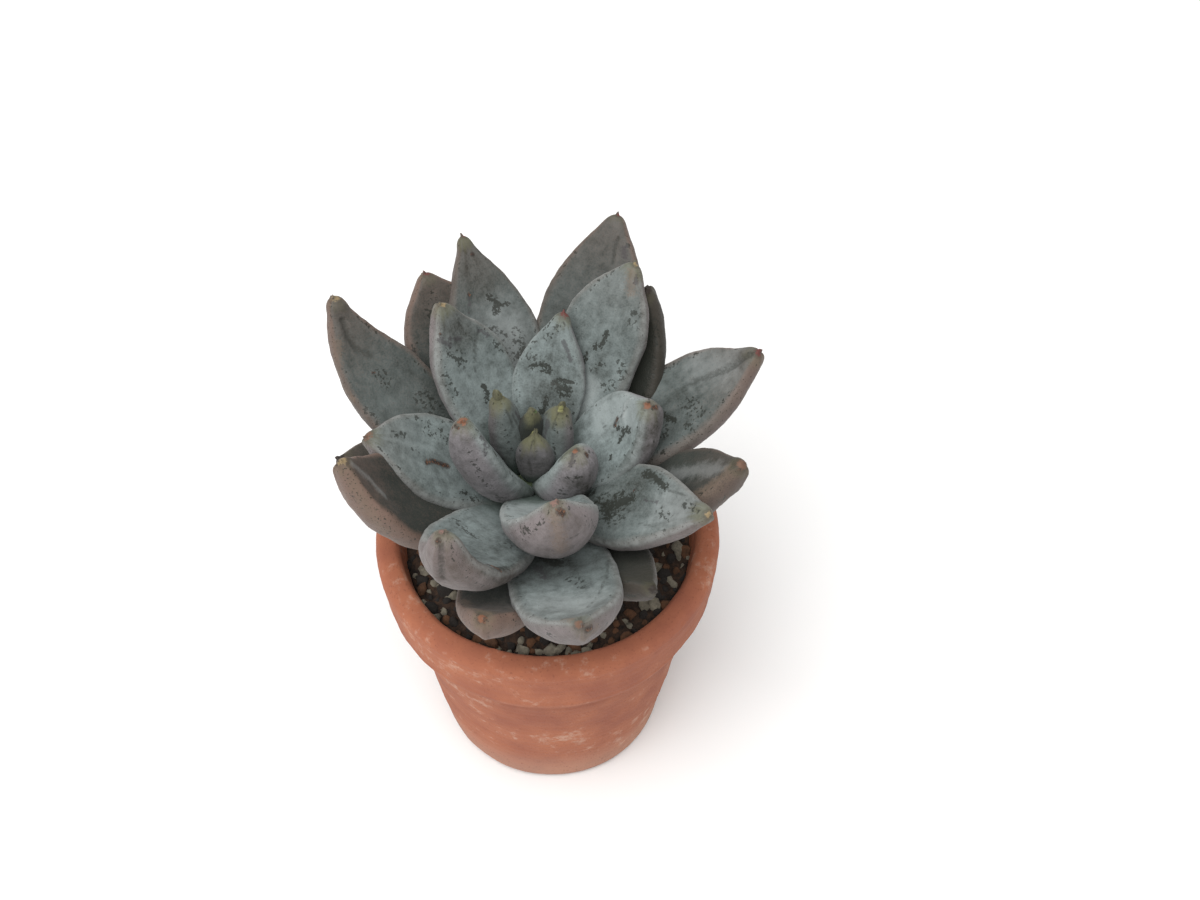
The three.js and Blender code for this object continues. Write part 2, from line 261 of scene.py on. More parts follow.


# Each leaf's bloom, from bare skin at 0 to a thick coat of wax at 1; its low values also paint shade on the
# leaves that lie in shade. Then its warm blush, its tip's colour, and the radius in millimetres of the
# dried spot there
LOOKS = [
    (0.04, 0.0, "green", 0.25),
    (0.34, 0.0, "lime", 0.4),
    (0.38, 0.05, "lime", 0.35),
    (0.4, 0.05, "lime", 0.45),
    (0.78, 0.05, "orange", 0.3),
    (0.64, 0.05, "red", 0.5),
    (0.66, 0.05, "orange", 0.5),
    (0.72, 0.05, "orange", 0.35),
    (0.62, 0.2, "cream", 0.34),
    (0.72, 0.2, "salmon", 0.4),
    (0.56, 0.22, "cream", 0.3),
    (0.59, 0.2, "cork", 0.5),
    (0.54, 0.25, "cream", 0.34),
    (0.32, 0.3, "red", 0.32),
    (0.68, 0.25, "salmon", 0.4),
    (0.33, 0.45, "red", 0.38),
    (0.24, 0.5, "cream", 0.42),
    (0.58, 0.2, "cork", 0.4),
    (0.19, 0.4, "red", 0.28),
    (0.02, 0.75, "cream", 0.45),
    (0.05, 0.3, "cork", 0.5),
    (0.12, 0.5, "red", 0.35),
    (0.12, 0.55, "orange", 0.4),
    (0.0, 0.1, "black", 0.6),
    (0.08, 0.4, "black", 0.5),
    (0.0, 0.1, "black", 0.5),
]

# Colours that the tips dry to
TIPS = {
    "green": "#5a6a45",
    "lime": "#8b8a5c",
    "orange": "#7b523d",
    "red": "#603531",
    "cream": "#8d7b5c",
    "salmon": "#7b6058",
    "cork": "#6b5041",
    "black": "#2b2420",
}

# Marks on the leaves, by age: the kind, the face, half its breadth and its relief in millimetres, and the
# places that it runs through, each as shares of the leaf's length and half width
# Thick wax marks also paint light on faces turned to the lamp; thin wax marks also paint shade, as under
# tips
MARKS = {
    1: [
        ("line", "outer", 0.25, 0, (0.9, 0.1), (0.6, 0.2), (0.4, 0.1)),
    ],
    2: [
        ("stain", "inner", 0.4, 0, (0.81, 0.2), (0.58, 0.3)),
        ("line", "inner", 0.2, 0, (0.95, 0.86), (0.8, 0.7)),
        ("line", "inner", 0.25, 0, (0.85, -0.4), (0.6, -0.5)),
    ],
    3: [
        ("stain", "inner", 0.4, 0, (0.77, 0.1), (0.66, 0.2), (0.53, 0.3)),
        ("line", "inner", 0.25, 0, (0.75, 0.6), (0.63, 0.5)),
        ("line", "inner", 0.25, 0, (0.89, -0.6), (0.7, -0.5)),
        ("line", "inner", 0.25, 0, (0.8, -0.2), (0.6, -0.1)),
    ],
    4: [
        ("thin", "outer", 1.6, 0, (0.6, 0.0), (0.75, 0.4)),
        ("scar", "outer", 0.28, 0, (0.97, -0.5), (0.96, -0.4)),
        ("stain", "outer", 0.4, 0, (0.98, 0.94), (0.94, 0.91)),
        ("line", "inner", 0.25, 0, (0.97, 0.83), (0.9, 0.9)),
        ("speckle", "outer", 0.5, 0, (0.82, 0.9), (0.84, 0.5)),
    ],
    5: [
        ("thin", "inner", 2.5, 0, (0.28, 0.0), (0.42, 0.2)),
        ("rub", "inner", 0.3, 0, (0.62, -0.57), (0.65, -0.35), (0.64, -0.16), (0.62, 0.03)),
        ("rub", "inner", 0.25, 0, (0.6, -0.26), (0.61, -0.06)),
        ("speckle", "inner", 0.8, 0, (0.68, -0.7), (0.67, -0.3)),
        ("rub", "inner", 0.45, 0, (0.55, 0.2), (0.52, 0.29), (0.53, 0.57)),
        ("rub", "inner", 0.22, 0, (0.57, 0.28), (0.58, 0.71)),
        ("rub", "inner", 0.3, 0, (0.48, 0.43), (0.49, 0.6)),
        ("speckle", "inner", 0.8, 0, (0.53, 0.2), (0.54, 0.7)),
        ("rub", "inner", 0.3, 0, (0.43, -0.03), (0.37, -0.06), (0.32, -0.14)),
        ("stain", "inner", 0.3, 0, (0.83, 0.38), (0.79, 0.47), (0.72, 0.65)),
        ("speckle", "inner", 0.6, 0, (0.83, -0.4), (0.93, 0.2)),
    ],
    6: [
        ("scar", "outer", 0.22, 0, (0.98, 0.46), (0.99, -0.2)),
        ("scar", "outer", 0.2, 0, (0.96, 0.4)),
        ("stain", "inner", 0.45, 0, (0.91, -0.9), (0.84, -0.8)),
        ("stain", "outer", 0.3, 0, (0.87, -0.98), (0.83, -1.0)),
        ("rub", "inner", 0.22, 0, (0.79, -0.87), (0.75, -0.8)),
        ("pale", "inner", 0.4, 0, (0.93, -0.53), (0.87, -0.77)),
    ],
    7: [
        ("thick", "inner", 2.4, 0, (0.6, -0.6), (0.75, -0.6), (0.85, -0.2)),
        ("thin", "outer", 2.8, 0, (0.95, 0.8), (0.85, 0.98), (0.7, 0.98)),
        ("scar", "inner", 0.28, 0, (0.7, -0.22), (0.66, -0.12)),
        ("rub", "inner", 0.4, 0, (0.68, -0.07), (0.74, 0.17), (0.81, 0.31)),
        ("rub", "inner", 0.35, 0, (0.74, 0.22), (0.68, 0.33)),
        ("line", "inner", 0.22, 0, (0.84, -0.43), (0.75, -0.27), (0.7, -0.18)),
        ("line", "inner", 0.22, 0, (0.67, -0.14), (0.56, -0.27)),
        ("rub", "inner", 0.25, 0, (0.58, 0.47), (0.58, 0.54)),
        ("scar", "outer", 0.3, 0, (0.99, 0.6), (0.98, 0.3)),
        ("pale", "inner", 0.35, 0.2, (0.91, -0.9), (0.82, -0.5), (0.76, -0.11)),
    ],
    8: [
        ("thin", "inner", 2.0, 0, (0.9, 0.0), (0.8, 0.2)),
        ("stain", "inner", 0.35, 0, (0.84, -0.4), (0.8, 0.04)),
        ("stain", "inner", 0.4, 0, (0.86, -0.9), (0.81, -0.5)),
        ("line", "inner", 0.3, -0.12, (0.77, 0.72), (0.73, 0.37), (0.66, 0.17), (0.59, 0.04)),
        ("stain", "inner", 0.4, 0, (0.77, 0.74), (0.71, 0.79)),
        ("rub", "inner", 0.3, 0, (0.51, -0.05), (0.47, -0.04), (0.42, -0.09)),
        ("speckle", "inner", 1.0, 0, (0.78, -0.5), (0.69, -0.27)),
        ("scar", "inner", 0.2, 0, (0.89, -0.9)),
        ("speckle", "inner", 0.7, 0, (0.67, 0.82), (0.58, 0.88)),
        ("speckle", "inner", 0.6, 0, (0.7, -0.87), (0.56, -0.76)),
        ("line", "inner", 0.25, 0, (0.9, 0.45), (0.86, 0.19)),
    ],
    9: [
        ("thick", "inner", 2.6, 0, (0.38, 0.3), (0.5, 0.7), (0.75, 0.8)),
        ("tan", "outer", 1.1, 0, (0.97, 0.3), (0.9, 0.1), (0.8, 0.0)),
        ("line", "inner", 0.2, 0, (0.39, 0.59), (0.42, 0.39)),
        ("speckle", "outer", 0.7, 0, (0.85, 0.95), (0.88, 0.9)),
        ("scar", "outer", 0.45, 0, (0.99, -0.05), (0.98, -0.28)),
        ("line", "outer", 0.2, 0, (0.92, -0.98), (0.87, -0.98)),
        ("line", "outer", 0.2, 0, (0.87, -0.21), (0.86, -0.48)),
    ],
    10: [
        ("tan", "inner", 0.9, 0, (0.97, 0.3), (0.9, 0.5)),
        ("thick", "inner", 1.6, 0, (0.32, 0.1), (0.42, 0.2)),
        ("rub", "inner", 0.38, 0, (0.68, 0.15), (0.63, 0.09), (0.6, 0.03)),
        ("rub", "inner", 0.25, 0, (0.56, -0.08), (0.53, -0.14), (0.51, -0.09)),
        ("speckle", "inner", 0.8, 0, (0.78, 0.6), (0.83, 0.77)),
        ("speckle", "inner", 0.7, 0, (0.6, 0.69), (0.55, 0.86)),
        ("speckle", "inner", 0.7, 0, (0.46, 0.52), (0.5, 0.72)),
        ("stain", "inner", 0.3, 0, (0.97, 0.86), (0.94, 0.77)),
        ("speckle", "inner", 0.5, 0, (0.51, 0.16), (0.55, 0.35)),
    ],
    11: [
        ("scar", "inner", 0.32, -0.08, (0.65, -0.19), (0.6, -0.17), (0.5, -0.14)),
        ("speckle", "inner", 1.1, 0, (0.63, 0.53), (0.53, 0.46)),
        ("speckle", "inner", 0.5, 0, (0.87, 0.31), (0.8, 0.29)),
        ("speckle", "inner", 0.5, 0, (0.74, 0.02), (0.7, -0.04)),
        ("rub", "inner", 0.25, 0, (0.43, -0.7), (0.39, -0.71)),
        ("line", "inner", 0.25, 0, (0.3, -0.71), (0.22, -0.86)),
    ],
    12: [
        ("thin", "inner", 3.0, 0, (0.42, 0.1), (0.56, -0.2)),
        ("thick", "inner", 2.4, 0, (0.78, -0.1), (0.88, 0.1)),
        ("rub", "inner", 0.9, 0, (0.47, 0.1), (0.56, -0.1)),
        ("speckle", "inner", 1.9, 0, (0.4, 0.1), (0.53, 0.29)),
        ("rub", "inner", 0.6, 0, (0.42, 0.17), (0.49, 0.44)),
        ("rub", "inner", 0.3, 0, (0.45, -0.08), (0.49, -0.18)),
        ("rub", "inner", 0.5, 0, (0.58, -0.72), (0.66, -0.67), (0.73, -0.58)),
        ("scar", "inner", 0.25, 0.08, (0.56, -0.28)),
        ("stain", "inner", 0.25, 0, (0.64, -0.15), (0.72, -0.09)),
        ("speckle", "inner", 0.8, 0, (0.75, 0.14), (0.83, 0.39)),
        ("speckle", "inner", 0.6, 0, (0.88, -0.34), (0.96, 0.06)),
        ("line", "inner", 0.25, 0, (0.73, -0.58), (0.84, -0.6), (0.93, -0.96)),
        ("rub", "inner", 0.4, 0, (0.26, -0.04), (0.32, -0.16)),
        ("line", "inner", 0.2, 0, (0.68, 0.47), (0.76, 0.63)),
    ],
    13: [
        ("thick", "inner", 3.6, 0, (0.35, 0.1), (0.58, 0.1)),
        ("thin", "inner", 2.6, 0, (0.8, 0.0), (0.92, 0.0)),
        ("rub", "inner", 0.4, 0, (0.73, 0.14), (0.71, 0.24), (0.68, 0.27)),
        ("rub", "inner", 0.33, 0, (0.69, 0.28), (0.68, 0.46)),
        ("rub", "inner", 0.38, 0, (0.68, 0.25), (0.66, 0.11)),
        ("scar", "inner", 0.25, 0.1, (0.76, -0.46)),
        ("stain", "inner", 0.2, 0, (0.75, -0.51), (0.69, -0.58)),
        ("speckle", "inner", 1.2, 0, (0.55, 0.42), (0.47, 0.33)),
        ("rub", "inner", 0.3, 0, (0.49, 0.51), (0.45, 0.3)),
        ("scar", "inner", 0.3, 0.15, (0.92, 0.1)),
        ("line", "inner", 0.2, 0, (0.83, -0.08), (0.8, -0.26)),
        ("speckle", "inner", 0.8, 0, (0.6, -0.07), (0.54, 0.24)),
    ],
    14: [
        ("thin", "outer", 2.8, 0, (0.9, -0.95), (0.75, -0.98), (0.6, -0.9)),
        ("speckle", "inner", 1.0, 0, (0.49, 0.71), (0.53, 0.27)),
        ("scar", "inner", 0.35, 0, (0.74, -0.66), (0.71, -0.9)),
        ("line", "outer", 0.5, -0.3, (0.98, -0.35), (0.94, -0.36), (0.86, -0.27)),
        ("scar", "outer", 0.4, 0, (0.99, 0.1)),
        ("speckle", "inner", 0.8, 0, (0.47, -0.37), (0.46, -0.66)),
        ("line", "inner", 0.25, 0, (0.83, -1.0), (0.7, -0.96)),
    ],
    15: [
        ("thick", "inner", 2.4, 0, (0.86, -0.15), (0.76, -0.5)),
        ("speckle", "inner", 1.3, 0, (0.65, 0.17), (0.69, 0.52)),
        ("speckle", "inner", 0.9, 0, (0.63, 0.71), (0.64, 0.82)),
        ("rub", "inner", 0.4, 0, (0.54, 0.16), (0.58, 0.38)),
        ("line", "inner", 0.6, -0.35, (0.98, 0.27), (0.89, 0.04), (0.81, -0.08), (0.7, -0.26)),
        ("stain", "inner", 0.35, 0, (0.51, -0.42)),
        ("speckle", "inner", 1.0, 0, (0.52, 0.39), (0.52, 0.55)),
    ],
    16: [
        ("line", "inner", 0.5, -0.25, (0.92, -0.07), (0.85, -0.25), (0.79, -0.09), (0.73, 0.12)),
        ("scar", "inner", 0.2, 0, (0.68, -0.17)),
        ("speckle", "inner", 1.4, 0, (0.49, 0.29), (0.42, 0.28)),
        ("speckle", "inner", 1.0, 0, (0.66, -0.06), (0.62, 0.02)),
        ("tan", "inner", 0.8, 0, (0.85, -0.78), (0.74, -0.96), (0.66, -0.99)),
    ],
    17: [
        ("tan", "outer", 0.9, 0, (0.95, -0.8), (0.97, 0.0)),
        ("thick", "inner", 2.6, 0, (0.78, -0.2), (0.72, 0.4)),
        ("thin", "inner", 2.4, 0, (0.4, 0.3), (0.45, 0.0)),
        ("stain", "inner", 0.7, 0, (0.42, 0.43), (0.51, 0.29)),
        ("line", "inner", 0.25, 0, (0.52, -0.87), (0.64, -0.72), (0.74, -0.57), (0.84, -0.29)),
        ("scar", "outer", 0.4, 0, (0.99, -0.59), (0.98, -0.8)),
        ("tan", "inner", 0.5, 0, (0.94, 0.66), (0.98, 0.7)),
        ("rub", "inner", 0.8, 0, (0.36, 0.2), (0.42, 0.05)),
        ("speckle", "inner", 0.8, 0, (0.55, -0.16), (0.64, -0.3)),
    ],
    18: [
        ("line", "inner", 0.3, -0.2, (0.92, 0.43), (0.87, 0.25), (0.83, 0.2)),
        ("stain", "inner", 0.4, 0, (0.89, 0.65), (0.86, 0.65)),
    ],
    19: [
        ("pale", "inner", 0.6, 0.06, (0.97, 0.05), (0.85, 0.06), (0.78, -0.29)),
        ("tan", "outer", 1.2, 0, (0.95, -0.98), (0.86, -0.94), (0.75, -0.91)),
    ],
    20: [
        ("pale", "inner", 1.3, 0.06, (0.6, -0.35), (0.78, -0.2), (0.92, 0.2)),
        ("tan", "inner", 1.2, 0, (0.95, 0.8), (0.87, 0.8), (0.8, 0.8)),
    ],
    21: [
        ("speckle", "inner", 1.0, 0, (0.91, -0.1), (0.84, -0.29)),
    ],
    22: [
        ("tan", "inner", 0.7, 0, (0.78, 0.72), (0.95, 0.78), (0.99, -0.3)),
    ],
    23: [
        ("speckle", "inner", 0.8, 0, (0.87, 0.91), (0.8, 0.94)),
    ],
}


def grown_leaf(age, plant):
    """A leaf's form at its age, in millimetres and degrees, with what it does differently."""
    grown = math.sin(math.pi / 2 * min(1, age / FULL_LENGTH_AGE))
    old = max(0, age - FULL_LENGTH_AGE - 1)
    full_length, full_width = plant.full_length / MM, plant.full_width / MM
    bud_length, bud_width = plant.bud_length / MM, plant.bud_width / MM
    upright, spreading = math.degrees(plant.upright), math.degrees(plant.spreading)
    leaf = {
        "stray": 0,
        "rise": spreading + (upright - spreading) * math.exp(-age / SPREADING_AGE),
        "arch": 12,
        "curl": 12,
        "swerve": 0,
        "length": bud_length + (full_length - bud_length) * grown - SHORTER_PER_OLD_LEAF * old,
        "width": full_width + (bud_width - full_width) * math.exp(-age / FULL_WIDTH_AGE),
        "thickness": min(plant.full_thickness, plant.bud_thickness + THICKER_PER_LEAF * MM * age) / MM,
        "twist": 0,
        "hollow": 1.2,
        "fullness": 2,
        "squareness": plant.squareness,
        "keel": 0.25,
        "blunt": 1,
        "spur": 0.4,
    }
    leaf.update(OWN_FORM[age])
    leaf["turn"] = math.degrees(plant.first_turn + plant.golden_angle * age) + leaf.pop("stray")
    leaf["height"] = plant.youngest_height / MM - HEIGHT_PER_LEAF * age
    leaf["seat"] = min(FURTHEST_SEAT * plant.stem_radius / MM, BUD_SEAT + SEAT_PER_LEAF * age)
    leaf["base"] = YOUNG_BASE + (OLD_BASE - YOUNG_BASE) * age / (LEAF_COUNT - 1)
    return leaf


def new_group(name, kind, inputs, outputs):
    """A node group with these sockets. inputs is {name: (socket type, subtype)}, outputs {name: type}."""
    tree = bpy.data.node_groups.new(name, kind)
    for label, (socket_type, subtype) in inputs.items():
        socket = tree.interface.new_socket(name=label, in_out="INPUT", socket_type=socket_type)
        if subtype:
            socket.subtype = subtype
    for label, socket_type in outputs.items():
        tree.interface.new_socket(name=label, in_out="OUTPUT", socket_type=socket_type)
    return tree, add_node(tree, "NodeGroupInput").outputs, add_node(tree, "NodeGroupOutput").inputs


def direction_group():
    """Node group: the directions along, across and out of a leaf's inner face at a share of its length."""
    wanted = {"share": ("NodeSocketFloat", None)}
    wanted.update({name: ("NodeSocketFloat", "ANGLE") for name in ANGLES})
    given = {name: "NodeSocketVector" for name in ("along", "side", "face")}
    tree, leaf, result = new_group("Leaf directions", "GeometryNodeTree", wanted, given)
    share = leaf["share"]
    bent = add_node(tree, RANGE, {"Value": share, "From Min": CURL_FROM, "From Max": 1.0})
    bent = add_node(tree, MATH, (bent, CURL_POWER), operation="POWER")
    rise = add_node(tree, MATH, (leaf["arch"], share, leaf["rise"]), operation="MULTIPLY_ADD")
    rise = add_node(tree, MATH, (leaf["curl"], bent, rise), operation="MULTIPLY_ADD")
    turn = add_node(tree, MATH, (leaf["swerve"], share, leaf["turn"]), operation="MULTIPLY_ADD")
    level = add_node(tree, MATH, (rise,), operation="COSINE")
    upward = add_node(tree, MATH, (rise,), operation="SINE")
    along = add_node(tree, "ShaderNodeCombineXYZ", {"X": level, "Z": upward})
    along = {"Vector": along, "Angle": turn}
    along = add_node(tree, "ShaderNodeVectorRotate", along, rotation_type="Z_AXIS")
    across = {"Vector": (0.0, -1.0, 0.0), "Angle": turn}
    side = add_node(tree, "ShaderNodeVectorRotate", across, rotation_type="Z_AXIS")
    rolled = add_node(tree, RANGE, {"Value": share, "From Min": 0.0, "From Max": TWIST_UNTIL})
    roll = add_node(tree, MATH, (rolled, leaf["twist"]), operation="MULTIPLY")
    roll = add_node(tree, MATH, (roll, -1.0), operation="MULTIPLY")
    about = {"Vector": side, "Axis": along, "Angle": roll}
    side = add_node(tree, "ShaderNodeVectorRotate", about, rotation_type="AXIS_ANGLE")
    face = add_node(tree, VECTOR, (side, along), operation="CROSS_PRODUCT")
    for name, node in (("along", along), ("side", side), ("face", face)):
        tree.links.new(node.outputs["Vector"], result[name])
    return tree


def outline_group():
    """Node group: the share of the full width at a share of the length."""
    wanted = {name: ("NodeSocketFloat", None) for name in ("share", "base", "widest", "fullness")}
    tree, leaf, result = new_group("Leaf outline", "GeometryNodeTree", wanted, {"width": "NodeSocketFloat"})
    rising = {"Value": leaf["share"], "From Min": 0.0, "From Max": leaf["widest"], "To Max": math.pi / 2}
    swell = add_node(tree, MATH, (add_node(tree, RANGE, rising),), operation="SINE")
    wider = add_node(tree, RANGE, {"Value": swell, "To Min": leaf["base"], "To Max": 1.0})
    falling = {"Value": leaf["share"], "From Min": leaf["widest"], "From Max": 1.0}
    fall = add_node(tree, MATH, (add_node(tree, RANGE, falling), leaf["fullness"]), operation="POWER")
    width = add_node(tree, MATH, (wider, fall), operation="SUBTRACT", use_clamp=True)
    tree.links.new(width.outputs[0], result["width"])
    return tree


def leaf_tree():
    """Geometry Nodes: a leaf drawn out along its spine, closed at its base and at its spur."""
    wanted = {name: ("NodeSocketFloat", "ANGLE") for name in ANGLES}
    wanted.update({name: ("NodeSocketFloat", "DISTANCE") for name in LENGTHS})
    wanted.update({name: ("NodeSocketFloat", None) for name in SHARES})
    wanted.update({"waviness": ("NodeSocketFloat", "DISTANCE")})
    wanted.update({"place": ("NodeSocketVector", "TRANSLATION"), "seed": ("NodeSocketFloat", None)})
    wanted.update({"skin": ("NodeSocketMaterial", None)})
    given = {"Geometry": "NodeSocketGeometry"}
    tree, leaf, result = new_group("Leaf", "GeometryNodeTree", wanted, given)
    directions, outlines = direction_group(), outline_group()

    grid = {"Size X": 1.0, "Size Y": 1.0, "Vertices X": LEAF_RINGS + 1, "Vertices Y": LEAF_SIDES + 1}
    sheet = add_node(tree, "GeometryNodeMeshGrid", grid)
    spot = add_node(tree, "GeometryNodeInputPosition")
    spot = add_node(tree, VECTOR, (spot, (0.5, 0.5, 0.0)), operation="ADD")
    spot = add_node(tree, "ShaderNodeSeparateXYZ", (spot,))
    ring, around = spot.outputs["X"], spot.outputs["Y"]

    def share_at(ring_share):
        """The share of the length at a ring: rings stand closer together towards the tip."""
        reach = add_node(tree, RANGE, {"Value": ring_share, "From Max": SPUR_FROM})
        pull = (reach, -RINGS_TOWARDS_TIP, 1 + RINGS_TOWARDS_TIP)
        pull = add_node(tree, MATH, pull, operation="MULTIPLY_ADD")
        return add_node(tree, MATH, (reach, pull), operation="MULTIPLY")

    share = share_at(ring)
    following = share_at(add_node(tree, MATH, (ring, 1 / LEAF_RINGS), operation="ADD"))
    step = add_node(tree, MATH, (following, share), operation="SUBTRACT")
    between = add_node(tree, MATH, (step, 0.5, share), operation="MULTIPLY_ADD")
    stride = add_node(tree, MATH, (step, leaf["length"]), operation="MULTIPLY")
    angles = {name: leaf[name] for name in ANGLES}
    ahead = add_node(tree, "GeometryNodeGroup", {"share": between, **angles}, node_tree=directions)
    move = {"Vector": ahead.outputs["along"], "Scale": stride}
    move = add_node(tree, VECTOR, move, operation="SCALE")
    column = add_node(tree, MATH, (around, float(LEAF_SIDES)), operation="MULTIPLY")
    column = add_node(tree, "FunctionNodeFloatToInt", (column,), rounding_mode="ROUND")
    steps = {"Value": move, "Group ID": column}
    path = add_node(tree, "GeometryNodeAccumulateField", steps, data_type="FLOAT_VECTOR")
    here = add_node(tree, "GeometryNodeGroup", {"share": share, **angles}, node_tree=directions).outputs
    foot = add_node(tree, "ShaderNodeCombineXYZ", {"X": leaf["seat"], "Z": leaf["height"]})
    foot = {"Vector": foot, "Angle": leaf["turn"]}
    foot = add_node(tree, "ShaderNodeVectorRotate", foot, rotation_type="Z_AXIS")
    foot = add_node(tree, VECTOR, (foot, leaf["place"]), operation="ADD")
    middle = add_node(tree, VECTOR, (foot, path.outputs["Trailing"]), operation="ADD")

    # Section: a rounded oval, boxier as squareness falls below 1, so that the margins are thick
    angle = add_node(tree, MATH, (around, 2 * math.pi), operation="MULTIPLY")
    section = []
    for wave in ("COSINE", "SINE"):
        side = add_node(tree, MATH, (angle,), operation=wave)
        size = add_node(tree, MATH, (side,), operation="ABSOLUTE")
        size = add_node(tree, MATH, (size, leaf["squareness"]), operation="POWER")
        sign = add_node(tree, MATH, (side,), operation="SIGN")
        section.append(add_node(tree, MATH, (size, sign), operation="MULTIPLY"))
    across, facing = section

    # Spur: the small point that the tip runs out into
    spur = add_node(tree, RANGE, {"Value": ring, "From Min": SPUR_FROM})
    thin = add_node(tree, MATH, (1.0, spur), operation="SUBTRACT")
    thin = add_node(tree, MATH, (thin, SPUR_POWER), operation="POWER")
    spur_half = add_node(tree, MATH, (leaf["spur"], SPUR_HALF), operation="MULTIPLY")
    spur_half = add_node(tree, MATH, (spur_half, thin), operation="MULTIPLY")
    reach = add_node(tree, MATH, (spur, leaf["spur"]), operation="MULTIPLY")
    reach = add_node(tree, VECTOR, {"Vector": here["along"], "Scale": reach}, operation="SCALE")
    middle = add_node(tree, VECTOR, (middle, reach), operation="ADD")

    # End: rounded off to the radius that blunt gives, over a little more than that length
    left = add_node(tree, MATH, (1.0, share), operation="SUBTRACT")
    left = add_node(tree, MATH, (left, leaf["length"]), operation="MULTIPLY")
    run = add_node(tree, MATH, (leaf["blunt"], END_RUN), operation="MULTIPLY")
    round_off = add_node(tree, RANGE, {"Value": left, "From Min": run, "From Max": 0.0})
    round_off = add_node(tree, MATH, (round_off, 2.0), operation="POWER")
    round_off = add_node(tree, MATH, (1.0, round_off), operation="SUBTRACT")
    round_off = add_node(tree, MATH, (round_off, 0.5), operation="POWER")
    end = add_node(tree, MATH, (round_off, leaf["blunt"]), operation="MULTIPLY")

    closing = add_node(tree, RANGE, {"Value": ring, "From Max": BASE_UNTIL, "To Max": math.pi / 2})
    closing = add_node(tree, MATH, (closing,), operation="SINE")
    width = {"share": share, "base": leaf["base"], "widest": WIDEST_AT, "fullness": leaf["fullness"]}
    width = add_node(tree, "GeometryNodeGroup", width, node_tree=outlines)
    body = {"share": share, "base": BASE_THICKNESS, "widest": THICKEST_AT, "fullness": THICKNESS_FULLNESS}
    body = add_node(tree, "GeometryNodeGroup", body, node_tree=outlines)
    width = add_node(tree, MATH, (width, closing), operation="MULTIPLY")
    half = add_node(tree, MATH, (leaf["width"], 0.5), operation="MULTIPLY")
    half = add_node(tree, MATH, (half, width), operation="MULTIPLY")
    half = add_node(tree, MATH, (half, end, leaf["blunt"]), operation="SMOOTH_MAX")
    half = add_node(tree, MATH, (half, thin), operation="MULTIPLY")
    half = add_node(tree, MATH, (half, spur_half), operation="MAXIMUM")
    half = add_node(tree, MATH, (half, closing), operation="MULTIPLY")
    body = add_node(tree, MATH, (body, 0.5), operation="POWER")
    body = add_node(tree, MATH, (body, leaf["thickness"]), operation="MULTIPLY")
    thick_end = add_node(tree, MATH, (end, END_THICKNESS), operation="MULTIPLY")
    body = add_node(tree, MATH, (body, thick_end, leaf["blunt"]), operation="SMOOTH_MAX")
    body = add_node(tree, MATH, (body, thin), operation="MULTIPLY")
    least = add_node(tree, MATH, (spur_half, 2.0), operation="MULTIPLY")
    body = add_node(tree, MATH, (body, least), operation="MAXIMUM")
    body = add_node(tree, MATH, (body, closing), operation="MULTIPLY")
    inward = add_node(tree, MATH, (facing, 0.0), operation="GREATER_THAN")
    split = add_node(tree, RANGE, {"Value": inward, "To Min": OUTER_SHARE, "To Max": INNER_SHARE})
    depth = add_node(tree, MATH, (body, split), operation="MULTIPLY")
    depth = add_node(tree, MATH, (depth, facing), operation="MULTIPLY")

    # Dish in the inner face, which the outer face follows, and a keel under the end
    squared = add_node(tree, MATH, (across, across), operation="MULTIPLY")
    dish = add_node(tree, MATH, (squared, DISH_MIDDLE), operation="SUBTRACT")
    hollow = add_node(tree, MATH, (leaf["hollow"], width), operation="MULTIPLY")
    depth = add_node(tree, MATH, (dish, hollow, depth), operation="MULTIPLY_ADD")
    ridge = add_node(tree, MATH, (squared, -KEEL_SHARPNESS), operation="MULTIPLY")
    ridge = add_node(tree, MATH, (ridge,), operation="EXPONENT")
    late = {"Value": share, "From Min": KEEL_FROM, "From Max": KEEL_UNTIL}
    late = add_node(tree, RANGE, late, interpolation_type="SMOOTHSTEP")
    ridge = add_node(tree, MATH, (ridge, late), operation="MULTIPLY")
    under = add_node(tree, MATH, (facing, 0.0), operation="MINIMUM")
    ridge = add_node(tree, MATH, (ridge, under), operation="MULTIPLY")
    depth = add_node(tree, MATH, (ridge, leaf["keel"], depth), operation="MULTIPLY_ADD")

    sideways = add_node(tree, MATH, (half, across), operation="MULTIPLY")
    sideways = add_node(tree, VECTOR, {"Vector": here["side"], "Scale": sideways}, operation="SCALE")
    outward = add_node(tree, VECTOR, {"Vector": here["face"], "Scale": depth}, operation="SCALE")
    place = add_node(tree, VECTOR, (middle, sideways), operation="ADD")
    place = add_node(tree, VECTOR, (place, outward), operation="ADD")

    stored = sheet.outputs["Mesh"]
    for name, value in (("along", share), ("across", across), ("facing", facing), ("left", left)):
        kept = {"Geometry": stored, "Name": name, "Value": value}
        stored = add_node(tree, "GeometryNodeStoreNamedAttribute", kept, data_type="FLOAT", domain="POINT")
    shaped = add_node(tree, "GeometryNodeSetPosition", {"Geometry": stored, "Position": place})
    sealed = add_node(tree, "GeometryNodeMergeByDistance", {"Geometry": shaped, "Distance": WELD_WITHIN})

